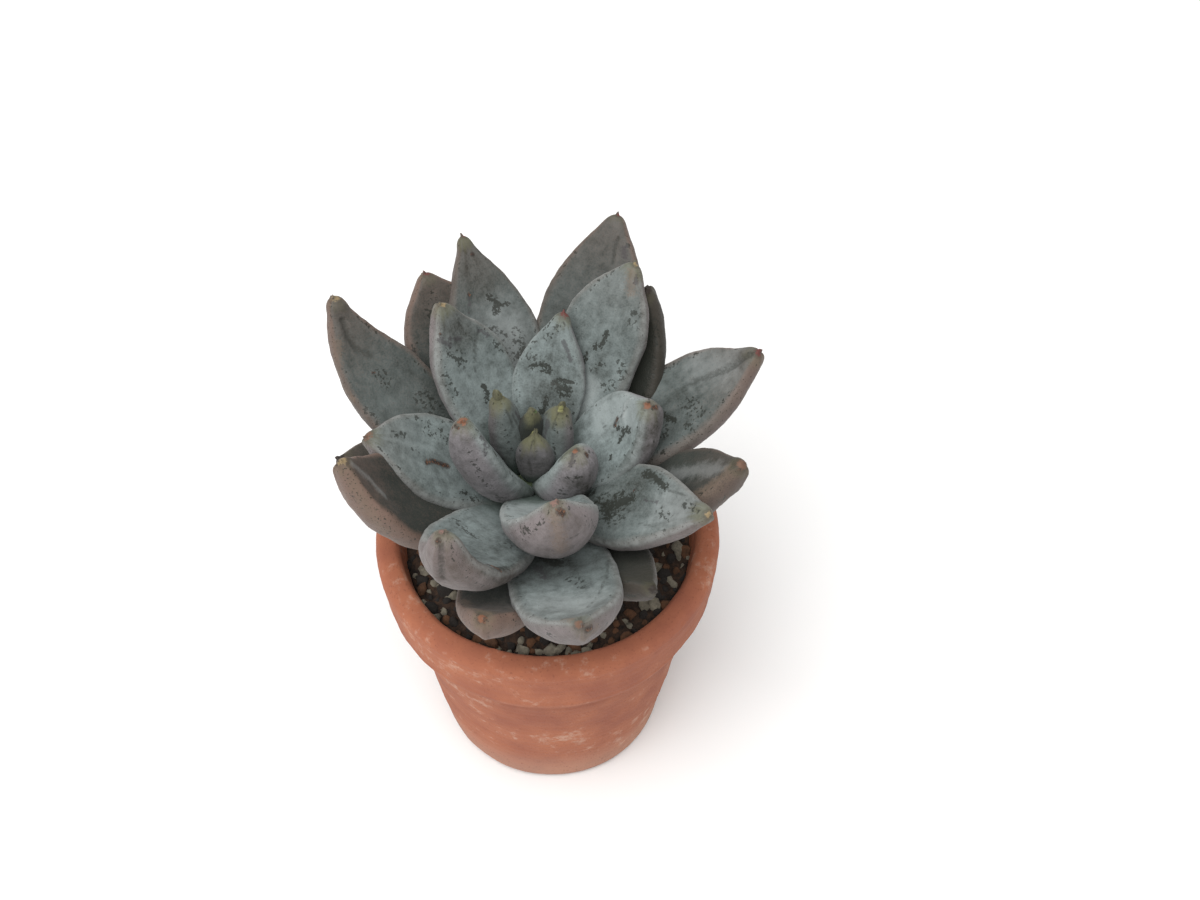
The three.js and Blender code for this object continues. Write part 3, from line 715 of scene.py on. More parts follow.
    # Waves: the skin is never quite even
    uneven = {"Vector": add_node(tree, "GeometryNodeInputPosition"), "W": leaf["seed"]}
    uneven.update({"Scale": WAVES_PER_METRE, "Detail": 4.0})
    uneven = add_node(tree, NOISE, uneven, noise_dimensions="4D")
    uneven = add_node(tree, MATH, (uneven.outputs["Fac"], 0.5), operation="SUBTRACT")
    settled = add_node(tree, "GeometryNodeInputNamedAttribute", {"Name": "along"}, data_type="FLOAT")
    settled = {"Value": settled, "From Min": 1.0, "From Max": WAVES_FADE_FROM}
    uneven = add_node(tree, MATH, (uneven, add_node(tree, RANGE, settled)), operation="MULTIPLY")
    uneven = add_node(tree, MATH, (uneven, leaf["waviness"]), operation="MULTIPLY")
    normal = add_node(tree, "GeometryNodeInputNormal")
    wave = add_node(tree, VECTOR, {"Vector": normal, "Scale": uneven}, operation="SCALE")
    waved = add_node(tree, "GeometryNodeSetPosition", {"Geometry": sealed, "Offset": wave})
    smooth = add_node(tree, "GeometryNodeSetShadeSmooth", {"Geometry": waved})
    real = add_node(tree, "GeometryNodeRealizeInstances", {"Geometry": smooth})
    skinned = add_node(tree, "GeometryNodeSetMaterial", {"Geometry": real, "Material": leaf["skin"]})
    tree.links.new(skinned.outputs[0], result["Geometry"])
    return tree


def grow(name, tree, values, start=None):
    """An object whose mesh is what the tree makes of these values, with no modifier left on it."""
    piece = bpy.data.objects.new(name, start or bpy.data.meshes.new(name))
    bpy.context.scene.collection.objects.link(piece)
    growth = piece.modifiers.new(tree.name, "NODES")
    growth.node_group = tree
    sockets = {item.name: item.identifier for item in tree.interface.items_tree if item.in_out == "INPUT"}
    for label, value in values.items():
        growth[sockets[label]] = value
    bpy.context.view_layer.update()
    graph = bpy.context.evaluated_depsgraph_get()
    grown = piece.evaluated_get(graph)
    mesh = bpy.data.meshes.new_from_object(grown, preserve_all_data_layers=True, depsgraph=graph)
    piece.modifiers.clear()
    piece.data = mesh
    mesh.name = name
    return piece


def fit(piece, node):
    """The piece rides with the plant and pot and stands for its solid."""
    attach(piece, BODY)
    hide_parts(node)


def values_of(mesh, name, parts=1):
    """A float or vector attribute of a mesh's vertices as an array."""
    held = np.empty(len(mesh.vertices) * parts, dtype=np.float32)
    mesh.attributes[name].data.foreach_get("vector" if parts == 3 else "value", held)
    return held.reshape(-1, parts) if parts > 1 else held


def keep_values(mesh, name, values, kind="FLOAT"):
    """Stores an array as an attribute of a mesh's vertices."""
    held = mesh.attributes.new(name, kind, "POINT")
    field = "color" if kind == "FLOAT_COLOR" else "value"
    held.data.foreach_set(field, np.ravel(values).astype(np.float32))


def distance_to_path(points, path):
    """How far each point is from a path of straight stretches."""
    if len(path) == 1:
        return np.linalg.norm(points - path[0], axis=1)
    nearest = np.full(len(points), np.inf)
    for start, end in zip(path[:-1], path[1:]):
        run = end - start
        share = np.clip((points - start) @ run / max(run @ run, 1e-12), 0, 1)
        nearest = np.minimum(nearest, np.linalg.norm(points - start - share[:, None] * run, axis=1))
    return nearest


def mark_leaf(mesh, form, strokes):
    """Stores how deep each vertex lies in each kind of mark, from -1 to 1, and shapes the marks' relief."""
    points = values_of(mesh, "position", 3)
    keep_values(mesh, "from_tip", np.linalg.norm(points - points[values_of(mesh, "left").argmin()], axis=1))
    normals = np.empty(len(points) * 3, dtype=np.float32)
    mesh.vertex_normals.foreach_get("vector", normals)
    normals = normals.reshape(-1, 3)
    along, across, facing = (values_of(mesh, name) for name in ("along", "across", "facing"))
    depths = {kind: np.full(len(points), -1.0) for kind in KINDS}
    lift = np.zeros(len(points))
    for kind, face, breadth, relief, *places in strokes:
        wrong = (facing if face == "inner" else -facing) < -OTHER_FACE
        path = []
        for s, x in places:
            miss = ((along - s) * form["length"]) ** 2 + ((across - x) * form["width"] / 2) ** 2
            path.append(int(np.argmin(miss + 1e3 * wrong)))
        away = distance_to_path(points, points[path]) / (breadth * MM)
        behind = normals @ normals[path].mean(axis=0) < 0
        depth = np.where(behind, -1, np.clip(1 - away, -1, 1))
        depths[kind] = np.maximum(depths[kind], depth)
        inside = np.clip(depth, 0, 1)
        lift += relief * MM * inside**2 * (3 - 2 * inside)
    mesh.vertices.foreach_set("co", (points + normals * lift[:, None]).ravel())
    for kind, depth in depths.items():
        keep_values(mesh, kind, depth)


def new_material(name, finish):
    """A material with its tree, its shader with these uniform values, and the place on the object."""
    material = bpy.data.materials.new(name)
    material.use_nodes = True
    tree = material.node_tree
    shader = tree.nodes["Principled BSDF"]
    for label, value in finish.items():
        shader.inputs[label].default_value = value
    return material, tree, shader, add_node(tree, "ShaderNodeTexCoord").outputs["Object"]


def leaf_skin(name, colours, olive_reach, olive_share):
    """Succulent leaf epidermis under a wax bloom.

    The wax makes a matt, powdery grey that is cooler on the inner face and mauve on the outer one. It
    builds up on the margins and rubs off in ragged dark patches. Scars are corky, and the tip dries. Part
    of the colour is
    painted light and shade: a low wax value also darkens leaves that lie in shade, the thick and thin wax
    marks also lighten faces turned to the lamp and darken shaded places, and a pale rim along the inner
    face's margins is partly a painted highlight.
    """
    finish = {"IOR": 1.45, "Diffuse Roughness": 0.3, "Specular IOR Level": 0.3}
    finish.update({"Sheen Weight": 0.05, "Sheen Roughness": 0.5})
    material, tree, shader, place = new_material(name, finish)
    names = KINDS + ("along", "across", "facing", "from_tip", "bloom", "blush", "spot")
    held = {}
    for label in names:
        held[label] = add_node(tree, "ShaderNodeAttribute", attribute_name=label).outputs["Fac"]
    tip = add_node(tree, "ShaderNodeAttribute", attribute_name="tip").outputs["Color"]

    # Patterns, in features per metre: clouds of 5 mm, blotches of 1 mm, specks of 0.4 mm, grain of 0.2 mm
    sizes = {"cloud": (210.0, 3.0), "blotch": (1000.0, 4.0), "speck": (2500.0, 2.0), "grain": (4800.0, 2.0)}
    varied = {}
    for label, (scale, detail) in sizes.items():
        pattern = {"Vector": place, "Scale": scale, "Detail": detail, "Roughness": 0.6}
        pattern = add_node(tree, NOISE, pattern)
        varied[label] = add_node(tree, MATH, (pattern.outputs["Fac"], 0.5), operation="SUBTRACT")
    flow = {"X": add_node(tree, MATH, (held["along"], 3.0), operation="MULTIPLY")}
    flow["Y"] = add_node(tree, MATH, (held["across"], 4.0), operation="MULTIPLY")
    flow["Z"] = add_node(tree, MATH, (held["bloom"], 90.0), operation="MULTIPLY")
    flow = add_node(tree, "ShaderNodeCombineXYZ", flow)
    streak = add_node(tree, NOISE, {"Vector": flow, "Scale": 1.0, "Detail": 4.0, "Roughness": 0.6})
    varied["streak"] = add_node(tree, MATH, (streak.outputs["Fac"], 0.5), operation="SUBTRACT")

    held["reach"] = add_node(tree, MATH, (held["across"],), operation="ABSOLUTE")
    held["far"] = add_node(tree, MATH, (held["from_tip"], 1 / MM), operation="MULTIPLY")
    held["near_tip"] = add_node(tree, MATH, (held["far"], held["spot"]), operation="DIVIDE")
    field = {"Value": held["speckle"], "From Min": -0.2, "From Max": 0.5, "To Max": 0.12}
    held["field"] = add_node(tree, RANGE, field, interpolation_type="SMOOTHSTEP")
    near = {"Value": held["reach"], "From Min": 0.6, "From Max": 0.82}
    past = {"Value": held["reach"], "From Min": 0.98, "From Max": 0.9}
    sides = [add_node(tree, RANGE, limits, interpolation_type="SMOOTHSTEP") for limits in (near, past)]
    held["ridge"] = add_node(tree, MATH, sides, operation="MULTIPLY")
    # A steady 0, for fades that follow their patterns alone
    held["still"] = add_node(tree, "ShaderNodeValue")
    held["still"].outputs[0].default_value = 0.0

    # Fades: what each one reads, the patterns that make its edge ragged, its start and end, and its most
    spread = {"cloud": 2.0, "streak": 2.0, "blotch": 1.0}
    fades = (
        ("margin", "reach", {"cloud": 0.25}, 0.78, 0.97, 1.0),
        ("outer", "facing", {"cloud": 0.4}, 0.3, -0.4, 1.0),
        ("end", "along", {"cloud": 0.2, "streak": 0.2}, 0.6, 1.0, 1.0),
        ("foot", "along", {"cloud": 0.2}, 0.4, 0.1, 0.9),
        ("olive", "far", spread, olive_reach, olive_reach * 0.3, olive_share),
        # The next two fades gate a painted highlight: a pale rim along the margins of the inner face, where
        # the light falls
        ("edge", "reach", {"blotch": 0.2}, 0.9, 1.02, 0.25),
        ("lit_face", "facing", {}, -0.1, 0.2, 1.0),
        ("bloomed", "bloom", {}, 0.42, 0.55, 1.0),
        ("thicker_wax_and_light", "thick", {"cloud": 1.2, "blotch": 1.2}, -0.6, 1.0, 0.28),
        ("thinner_wax_and_shade", "thin", {"cloud": 0.9, "blotch": 1.2, "speck": 0.8}, -0.5, 0.8, 0.55),
        ("patch", "rub", {"blotch": 2.0, "speck": 2.6, "grain": 3.2}, 0.0, 0.4, 1.0),
        ("within", "speckle", {}, -0.2, 0.5, 0.85),
        ("dots", "field", {"speck": 1.0}, 0.14, 0.2, 1.0),
        ("worn", "ridge", {"speck": 3.2, "blotch": 2.4, "cloud": 2.2}, 1.35, 1.65, 0.9),
        ("pitted", "still", {"grain": 1.0}, 0.08, 0.2, 1.0),
        ("crumbs", "still", {"speck": 0.8, "grain": 1.0}, -0.04, 0.2, 1.0),
        ("waxed", "pale", {"blotch": 1.4, "cloud": 0.8, "grain": 0.8}, -0.1, 1.0, 0.3),
        ("banded", "tan", {"grain": 2.4, "blotch": 1.2}, 0.0, 0.9, 0.55),
        ("creased", "line", {"speck": 1.4, "blotch": 1.6, "grain": 1.6}, 0.0, 0.9, 0.5),
        ("bruised", "stain", {"blotch": 2.4, "speck": 1.8, "grain": 2.4}, 0.0, 0.8, 0.6),
        ("corky", "scar", {"speck": 1.2, "grain": 2.0}, 0.2, 0.6, 0.9),
        ("burnt", "scar", {"blotch": 1.0, "grain": 1.0}, -0.2, 0.3, 0.6),
        ("dried", "near_tip", {"grain": 1.6, "speck": 1.4}, 1.35, 0.6, 0.9),
        ("collar", "near_tip", {"speck": 1.4, "blotch": 1.0}, 2.6, 0.9, 0.4),
    )
    for label, source, shares, start, finish, most in fades:
        value = held[source]
        for pattern, share in shares.items():
            value = add_node(tree, MATH, (varied[pattern], share, value), operation="MULTIPLY_ADD")
        limits = {"Value": value, "From Min": start, "From Max": finish, "To Max": most}
        held[label] = add_node(tree, RANGE, limits, interpolation_type="SMOOTHSTEP")

    # Wax: its thickness varies, and it gathers on the margins. The thick and thin wax marks also add
    # painted light and painted shade here
    wax = add_node(tree, MATH, (held["margin"], 0.15, 1.0), operation="MULTIPLY_ADD")
    # Painted light: the thick wax marks lighten faces turned to the lamp, partly as thicker wax
    wax = add_node(tree, MATH, (wax, held["thicker_wax_and_light"]), operation="ADD")
    # Painted shade: the thin wax marks darken shaded places, such as under a tip, partly as thinner wax
    wax = add_node(tree, MATH, (wax, held["thinner_wax_and_shade"]), operation="SUBTRACT")
    for pattern, share in (("cloud", 1.6), ("blotch", 1.7), ("streak", 1.1), ("grain", 1.0)):
        wax = add_node(tree, MATH, (varied[pattern], share, wax), operation="MULTIPLY_ADD")
    # The leaf's bloom value thins the wax; its low values also paint shade on leaves that lie in shade
    wax = add_node(tree, MATH, (wax, held["bloom"], 0.02), operation="MULTIPLY_ADD", use_clamp=True)
    coat = {0: held["outer"], 6: colours.inner_bloom, 7: colours.outer_bloom}
    coat = add_node(tree, MIX, coat, data_type="RGBA")
    skin = add_node(tree, MIX, {0: wax, 6: colours.bare, 7: coat}, data_type="RGBA")
    warm = add_node(tree, MATH, (held["margin"], held["outer"]), operation="MAXIMUM")
    warm = add_node(tree, MATH, (held["end"], 0.7, warm), operation="MULTIPLY_ADD")
    warm = add_node(tree, MATH, (varied["grain"], 1.2, warm), operation="MULTIPLY_ADD")
    warm = add_node(tree, MATH, (varied["blotch"], 0.7, warm), operation="MULTIPLY_ADD")
    warm = add_node(tree, MATH, (warm, held["blush"]), operation="MULTIPLY", use_clamp=True)
    # Painted highlight: a pale rim along the inner face's margins, the lit side, partly the thicker wax
    # there
    highlight_rim = add_node(tree, MATH, (held["edge"], held["lit_face"]), operation="MULTIPLY")
    highlight_rim = add_node(tree, MATH, (highlight_rim, held["bloomed"]), operation="MULTIPLY")
    dots = add_node(tree, MATH, (held["dots"], held["within"]), operation="MULTIPLY")
    rubbed = add_node(tree, MATH, (held["patch"], dots), operation="MAXIMUM")
    rubbed = add_node(tree, MATH, (rubbed, held["worn"]), operation="MAXIMUM")
    dark = add_node(tree, MATH, (rubbed, DARKEST_RUB), operation="MULTIPLY")
    pores = add_node(tree, MATH, (warm, 0.5, 0.14), operation="MULTIPLY_ADD")
    pores = add_node(tree, MATH, (held["margin"], 0.36, pores), operation="MULTIPLY_ADD")
    pores = add_node(tree, MATH, (pores, held["pitted"]), operation="MULTIPLY")
    cork = add_node(tree, MIX, {0: held["crumbs"], 6: colours.burnt, 7: colours.cork}, data_type="RGBA")
    layers = (
        (warm, colours.blush),
        (held["foot"], colours.green),
        # Painted highlight rim, in the thick wax colour
        (highlight_rim, colours.wax),
        # Painted light on faces turned to the lamp, in the thick wax colour
        (held["thicker_wax_and_light"], colours.wax),
        (held["olive"], colours.olive),
        (held["waxed"], colours.wax),
        (held["banded"], colours.tan),
        (pores, colours.bare),
        (dark, colours.bare),
        (held["creased"], colours.bare),
        (held["bruised"], colours.stain),
        (held["collar"], colours.burnt),
        (held["burnt"], colours.burnt),
        (held["corky"], cork),
        (held["dried"], tip),
    )
    for share, tint in layers:
        skin = add_node(tree, MIX, {0: share, 6: skin, 7: tint}, data_type="RGBA")
    tree.links.new(skin.outputs[2], shader.inputs["Base Color"])

    gloss = {"Value": rubbed, "To Min": WAXED_ROUGHNESS, "To Max": BARE_ROUGHNESS}
    gloss = add_node(tree, RANGE, gloss)
    tree.links.new(gloss.outputs[0], shader.inputs["Roughness"])
    height = add_node(tree, MATH, (rubbed, -0.25), operation="MULTIPLY")
    height = add_node(tree, MATH, (varied["blotch"], 0.8, height), operation="MULTIPLY_ADD")
    height = add_node(tree, MATH, (varied["grain"], 0.7, height), operation="MULTIPLY_ADD")
    height = add_node(tree, MATH, (held["corky"], varied["grain"], height), operation="MULTIPLY_ADD")
    bump = add_node(tree, "ShaderNodeBump", {"Height": height, "Strength": 0.6, "Distance": 0.1 * MM})
    tree.links.new(bump.outputs["Normal"], shader.inputs["Normal"])
    return material


def fired_clay(colours):
    """Unglazed terracotta, thrown and fired.

    It gives a dry, warm orange-brown with sandy grain, and a pale bloom of lime where water has dried.
    """
    finish = {"Roughness": 0.88, "IOR": 1.5, "Diffuse Roughness": 0.5}
    material, tree, shader, place = new_material("Unglazed terracotta", finish)
    # Clouds of 8 mm, lime flecks of 1.5 mm, sand of 0.3 mm
    cloud = add_node(tree, NOISE, {"Vector": place, "Scale": 120.0, "Detail": 4.0, "Roughness": 0.6})
    fleck = add_node(tree, NOISE, {"Vector": place, "Scale": 650.0, "Detail": 5.0, "Roughness": 0.7})
    sand = add_node(tree, NOISE, {"Vector": place, "Scale": 3600.0, "Detail": 2.0})
    height = add_node(tree, "ShaderNodeSeparateXYZ", (place,)).outputs["Z"]
    tone = add_node(tree, RANGE, {"Value": cloud.outputs["Fac"], "From Min": 0.35, "From Max": 0.65})
    clay = add_node(tree, MIX, {0: tone, 6: colours.clay_dark, 7: colours.clay}, data_type="RGBA")
    damp = {"Value": height, "From Min": 9 * MM, "From Max": 1 * MM, "To Max": 0.35}
    foot = add_node(tree, RANGE, damp, interpolation_type="SMOOTHSTEP")
    lime = add_node(tree, MATH, (cloud.outputs["Fac"], fleck.outputs["Fac"]), operation="ADD")
    limit = {"Value": lime, "From Min": 1.06, "From Max": 1.3, "To Max": 0.55}
    lime = add_node(tree, RANGE, limit, interpolation_type="SMOOTHSTEP")
    lime = add_node(tree, MATH, (lime, foot), operation="MAXIMUM")
    clay = add_node(tree, MIX, {0: lime, 6: clay, 7: colours.lime}, data_type="RGBA")
    grit = {"Value": sand.outputs["Fac"], "From Min": 0.62, "From Max": 0.7, "To Max": 0.5}
    grit = add_node(tree, RANGE, grit)
    clay = add_node(tree, MIX, {0: grit, 6: clay, 7: colours.clay_grit}, data_type="RGBA")
    tree.links.new(clay.outputs[2], shader.inputs["Base Color"])
    relief = (fleck.outputs["Fac"], 0.6, sand.outputs["Fac"])
    relief = add_node(tree, MATH, relief, operation="MULTIPLY_ADD")
    bump = add_node(tree, "ShaderNodeBump", {"Height": relief, "Strength": 0.5, "Distance": 0.12 * MM})
    tree.links.new(bump.outputs["Normal"], shader.inputs["Normal"])
    return material


def potting_mix(colours):
    """Peat with pumice, lava and baked-clay grit.

    It gives a dark, crumbly ground with pale, black and rust-brown grains. Each grain holds its own colour.
    """
    finish = {"Roughness": 0.95, "Diffuse Roughness": 0.6}
    material, tree, shader, place = new_material("Potting mix", finish)
    # Crumbs of 1 mm and dust of 0.3 mm
    crumb = add_node(tree, NOISE, {"Vector": place, "Scale": 900.0, "Detail": 5.0, "Roughness": 0.7})
    dust = add_node(tree, NOISE, {"Vector": place, "Scale": 3500.0, "Detail": 3.0})
    kind = add_node(tree, "ShaderNodeAttribute", attribute_name="grain").outputs["Fac"]
    tone = add_node(tree, RANGE, {"Value": crumb.outputs["Fac"], "From Min": 0.38, "From Max": 0.62})
    worn = add_node(tree, MATH, (tone, 0.5, 0.5), operation="MULTIPLY_ADD")
    mix = add_node(tree, MIX, {0: tone, 6: colours.peat_dark, 7: colours.peat}, data_type="RGBA")
    # The ground has 0, and each kind of grain starts at its own value
    for least, tint in ((0.02, colours.lava), (0.38, colours.akadama), (0.66, colours.pumice)):
        chosen = add_node(tree, MATH, (kind, least), operation="GREATER_THAN")
        shaded = add_node(tree, MIX, {0: worn, 6: colours.peat_dark, 7: tint}, data_type="RGBA")
        mix = add_node(tree, MIX, {0: chosen, 6: mix, 7: shaded}, data_type="RGBA")
    tree.links.new(mix.outputs[2], shader.inputs["Base Color"])
    relief = (crumb.outputs["Fac"], 1.5, dust.outputs["Fac"])
    relief = add_node(tree, MATH, relief, operation="MULTIPLY_ADD")
    bump = add_node(tree, "ShaderNodeBump", {"Height": relief, "Strength": 0.8, "Distance": 0.2 * MM})
    tree.links.new(bump.outputs["Normal"], shader.inputs["Normal"])
    return material


def corky_bark(colours):
    """Corky stem bark.

    It gives a dry grey-brown with fine cracks along the stem, turning green at the growing crown.
    """
    material, tree, shader, place = new_material("Corky bark", {"Roughness": 0.85, "IOR": 1.45})
    # Cracks of 0.4 mm, drawn out four times as long up the stem
    drawn = add_node(tree, VECTOR, (place, (1.0, 1.0, 0.25)), operation="MULTIPLY")
    crack = add_node(tree, NOISE, {"Vector": drawn, "Scale": 2400.0, "Detail": 4.0, "Roughness": 0.7})
    height = add_node(tree, "ShaderNodeSeparateXYZ", (place,)).outputs["Z"]
    tone = add_node(tree, RANGE, {"Value": crack.outputs["Fac"], "From Min": 0.36, "From Max": 0.6})
    bark = add_node(tree, MIX, {0: tone, 6: colours.crack, 7: colours.bark}, data_type="RGBA")
    young = add_node(tree, RANGE, {"Value": height, "From Min": 37 * MM, "From Max": 42 * MM})
    bark = add_node(tree, MIX, {0: young, 6: bark, 7: colours.green_stem}, data_type="RGBA")
    tree.links.new(bark.outputs[2], shader.inputs["Base Color"])
    bump = {"Height": crack.outputs["Fac"], "Strength": 0.7, "Distance": 0.2 * MM}
    bump = add_node(tree, "ShaderNodeBump", bump)
    tree.links.new(bump.outputs["Normal"], shader.inputs["Normal"])
    return material


def white_paper(colour):
    """Matt white background paper: an even, shadow-catching white with a trace of fibre."""
    finish = {"Base Color": colour, "Roughness": 0.9}
    material, tree, shader, place = new_material("White paper", finish)
    fibre = add_node(tree, NOISE, {"Vector": place, "Scale": 1500.0, "Detail": 2.0})
    bump = {"Height": fibre.outputs["Fac"], "Strength": 0.1, "Distance": 0.05 * MM}
    bump = add_node(tree, "ShaderNodeBump", bump)
    tree.links.new(bump.outputs["Normal"], shader.inputs["Normal"])
    return material


def softened(profile, sharpness):
    """The closed profile with each corner rounded: sharpness is how much of each side stays straight."""
    points = np.array(profile, dtype=float)
    for _ in range(3):
        ahead = np.roll(points, -1, axis=0)
        side = ahead - points
        cut = np.minimum(0.25, (1 - sharpness) / np.maximum(np.linalg.norm(side, axis=1), 1e-6))[:, None]
        near, far = points + side * cut, ahead - side * cut
        points = np.stack((near, far), axis=1).reshape(-1, 2)
    return points


def filled(points, step):
    """The closed profile with points no further apart than step."""
    dense = []
    for here, ahead in zip(points, np.roll(points, -1, axis=0)):
        count = max(1, math.ceil(np.linalg.norm(ahead - here) / step))
        dense.extend(here + (ahead - here) * i / count for i in range(count))
    return np.array(dense)


def turned(profile, sides):
    """Points round the axis for each point of a profile of radius and height."""
    angles = np.arange(sides) * 2 * np.pi / sides
    radii, heights = profile[:, 0][:, None], profile[:, 1][:, None]
    points = np.stack((radii * np.cos(angles), radii * np.sin(angles), heights + 0 * angles), axis=2)
    return points.reshape(-1, 3)


def new_piece(name, points, faces):
    """An object with a smooth mesh of these faces and of these points in millimetres."""
    mesh = bpy.data.meshes.new(name)
    mesh.from_pydata((points * MM).tolist(), [], faces)
    mesh.shade_smooth()
    piece = bpy.data.objects.new(name, mesh)
    bpy.context.scene.collection.objects.link(piece)
    return piece


def turned_ring(name, profile, sides, shape):
    """A closed ring turned from a closed profile, and then shaped."""
    faces = []
    for i in range(len(profile)):
        low, high = i * sides, (i + 1) % len(profile) * sides
        for j in range(sides):
            k = (j + 1) % sides
            faces.append((low + j, low + k, high + k, high + j))
    return new_piece(name, shape(turned(profile, sides)), faces)


def turned_solid(name, profile, sides, shape):
    """A closed solid turned from a profile that starts and ends on the axis, and then shaped."""
    ends = [(0, 0, profile[0][1]), (0, 0, profile[-1][1])]
    points = shape(np.concatenate((turned(profile[1:-1], sides), ends)))
    low, high = len(points) - 2, len(points) - 1
    last = (len(profile) - 3) * sides
    faces = []
    for j in range(sides):
        k = (j + 1) % sides
        faces.append((low, k, j))
        faces.append((last + j, last + k, high))
        faces.extend((i + j, i + k, i + sides + k, i + sides + j) for i in range(0, last, sides))
    return new_piece(name, points, faces)


def widened(points, scale):
    """The points scaled away from the axis, each by its own scale."""
    return points * np.stack((scale, scale, np.ones(len(points))), axis=1)


def uneven(points, sizes):
    """Smooth random numbers at the points: sizes holds pairs of grain and height in millimetres."""
    total = np.zeros(len(points))
    for grain, height in sizes:
        total += [noise.noise(Vector(point / grain)) * height for point in points]
    return total


def make_leaves(context, ages, label, skin):
    """The leaves of these ages, each in place of its solid."""
    plant = context.scene.echeveria_rosette
    tree = bpy.data.node_groups.get("Leaf") or leaf_tree()
    for age in ages:
        form = grown_leaf(age, plant)
        values = {name: math.radians(form[name]) for name in ANGLES}
        values.update({name: form[name] * MM for name in LENGTHS})
        values.update({name: float(form[name]) for name in SHARES})
        values.update(waviness=plant.waviness, seed=float(age), skin=skin)
        values["place"] = tuple(plant.place)
        leaf = grow(f"{label}_{age + 1:02d}", tree, values)
        mark_leaf(leaf.data, form, MARKS.get(age, []))
        # The bloom value also paints shade: leaves that lie in shade have low values
        bloom, blush, tip, spot = LOOKS[age]
        count = len(leaf.data.vertices)
        for kind, value in (("bloom", bloom), ("blush", blush), ("spot", spot)):
            keep_values(leaf.data, kind, np.full(count, value))
        keep_values(leaf.data, "tip", np.tile(linear(TIPS[tip]), (count, 1)), "FLOAT_COLOR")
        fit(leaf, f"leaf_{age + 1:02d}")


def gravel_tree():
    """Geometry Nodes: grains strewn over a surface's upward faces, each turned and sized by chance."""
    wanted = {"Geometry": ("NodeSocketGeometry", None), "seed": ("NodeSocketInt", None)}
    wanted.update({name: ("NodeSocketFloat", "DISTANCE") for name in GRAVEL_LENGTHS})
    wanted["material"] = ("NodeSocketMaterial", None)
    given = {"Geometry": "NodeSocketGeometry"}
    tree, soil, result = new_group("Gravel", "GeometryNodeTree", wanted, given)
    normal = add_node(tree, "GeometryNodeInputNormal")
    up = add_node(tree, "ShaderNodeSeparateXYZ", (normal,)).outputs["Z"]
    up = add_node(tree, MATH, (up, LEVEL_ENOUGH), operation="GREATER_THAN")
    strewn = {"Mesh": soil["Geometry"], "Selection": up, "Seed": soil["seed"]}
    strewn.update({"Distance Min": soil["spacing"], "Density Max": GRAINS_PER_SQUARE_METRE})
    strewn = add_node(tree, "GeometryNodeDistributePointsOnFaces", strewn, distribute_method="POISSON")
    block = {"Size": (2.0, 2.0, 2.0), "Vertices X": 3, "Vertices Y": 3, "Vertices Z": 3}
    block = add_node(tree, "GeometryNodeMeshCube", block)
    corner = add_node(tree, "GeometryNodeInputPosition")
    round_it = add_node(tree, VECTOR, (corner,), operation="NORMALIZE")
    round_it = add_node(tree, VECTOR, {"Vector": round_it, "Scale": BALL_SHARE}, operation="SCALE")
    corner = add_node(tree, VECTOR, {"Vector": corner, "Scale": CUBE_SHARE}, operation="SCALE")
    round_it = add_node(tree, VECTOR, (round_it, corner), operation="ADD")
    grain = {"Geometry": block.outputs["Mesh"], "Position": round_it}
    grain = add_node(tree, "GeometryNodeSetPosition", grain)
    turn = {0: (0.0, 0.0, 0.0), 1: (FULL_TURN, FULL_TURN, FULL_TURN), "Seed": soil["seed"]}
    turn = add_node(tree, "FunctionNodeRandomValue", turn, data_type="FLOAT_VECTOR")
    size = {2: 0.0, 3: 1.0, "Seed": soil["seed"]}
    size = add_node(tree, "FunctionNodeRandomValue", size, data_type="FLOAT")
    size = add_node(tree, MATH, (size, 2.0), operation="POWER")
    size = add_node(tree, RANGE, {"Value": size, "To Min": soil["least"], "To Max": soil["most"]})
    oval = {0: FLATTEST, 1: FULLEST, "Seed": soil["seed"]}
    oval = add_node(tree, "FunctionNodeRandomValue", oval, data_type="FLOAT_VECTOR")
    size = add_node(tree, VECTOR, {"Vector": oval, "Scale": size}, operation="SCALE")
    placed = {"Points": strewn.outputs["Points"], "Instance": grain, "Scale": size}
    placed["Rotation"] = add_node(tree, "FunctionNodeEulerToRotation", (turn,))
    placed = add_node(tree, "GeometryNodeInstanceOnPoints", placed)
    # What a grain is made of is drawn apart from its size. The ground between the grains has 0
    other = add_node(tree, MATH, (soil["seed"], 1.0), operation="ADD")
    kind = {2: 0.03, 3: 1.0, "Seed": other}
    kind = add_node(tree, "FunctionNodeRandomValue", kind, data_type="FLOAT")
    kept = {"Geometry": placed, "Name": "grain", "Value": kind}
    kept = add_node(tree, "GeometryNodeStoreNamedAttribute", kept, data_type="FLOAT", domain="INSTANCE")
    real = add_node(tree, "GeometryNodeRealizeInstances", {"Geometry": kept})
    lump = {"Vector": add_node(tree, "GeometryNodeInputPosition"), "Scale": LUMPS_PER_METRE, "Detail": 2.0}
    lump = add_node(tree, MATH, (add_node(tree, NOISE, lump).outputs["Fac"], 0.5), operation="SUBTRACT")
    lump = add_node(tree, MATH, (lump, soil["roughness"]), operation="MULTIPLY")
    lump = add_node(tree, VECTOR, {"Vector": normal, "Scale": lump}, operation="SCALE")
    lumpy = add_node(tree, "GeometryNodeSetPosition", {"Geometry": real, "Offset": lump})
    smooth = add_node(tree, "GeometryNodeSetShadeSmooth", {"Geometry": lumpy})
    both = add_node(tree, "GeometryNodeJoinGeometry", {"Geometry": soil["Geometry"]})
    tree.links.new(smooth.outputs[0], both.inputs["Geometry"])
    done = add_node(tree, "GeometryNodeRealizeInstances", {"Geometry": both})
    done = add_node(tree, "GeometryNodeSetMaterial", {"Geometry": done, "Material": soil["material"]})
    tree.links.new(done.outputs[0], result["Geometry"])
    return tree


def colour(name, description, code):
    """A colour property with its default from a hex code."""
    return FloatVectorProperty(
        name=name, description=description, subtype="COLOR", size=4, min=0, max=1, default=linear(code)
    )


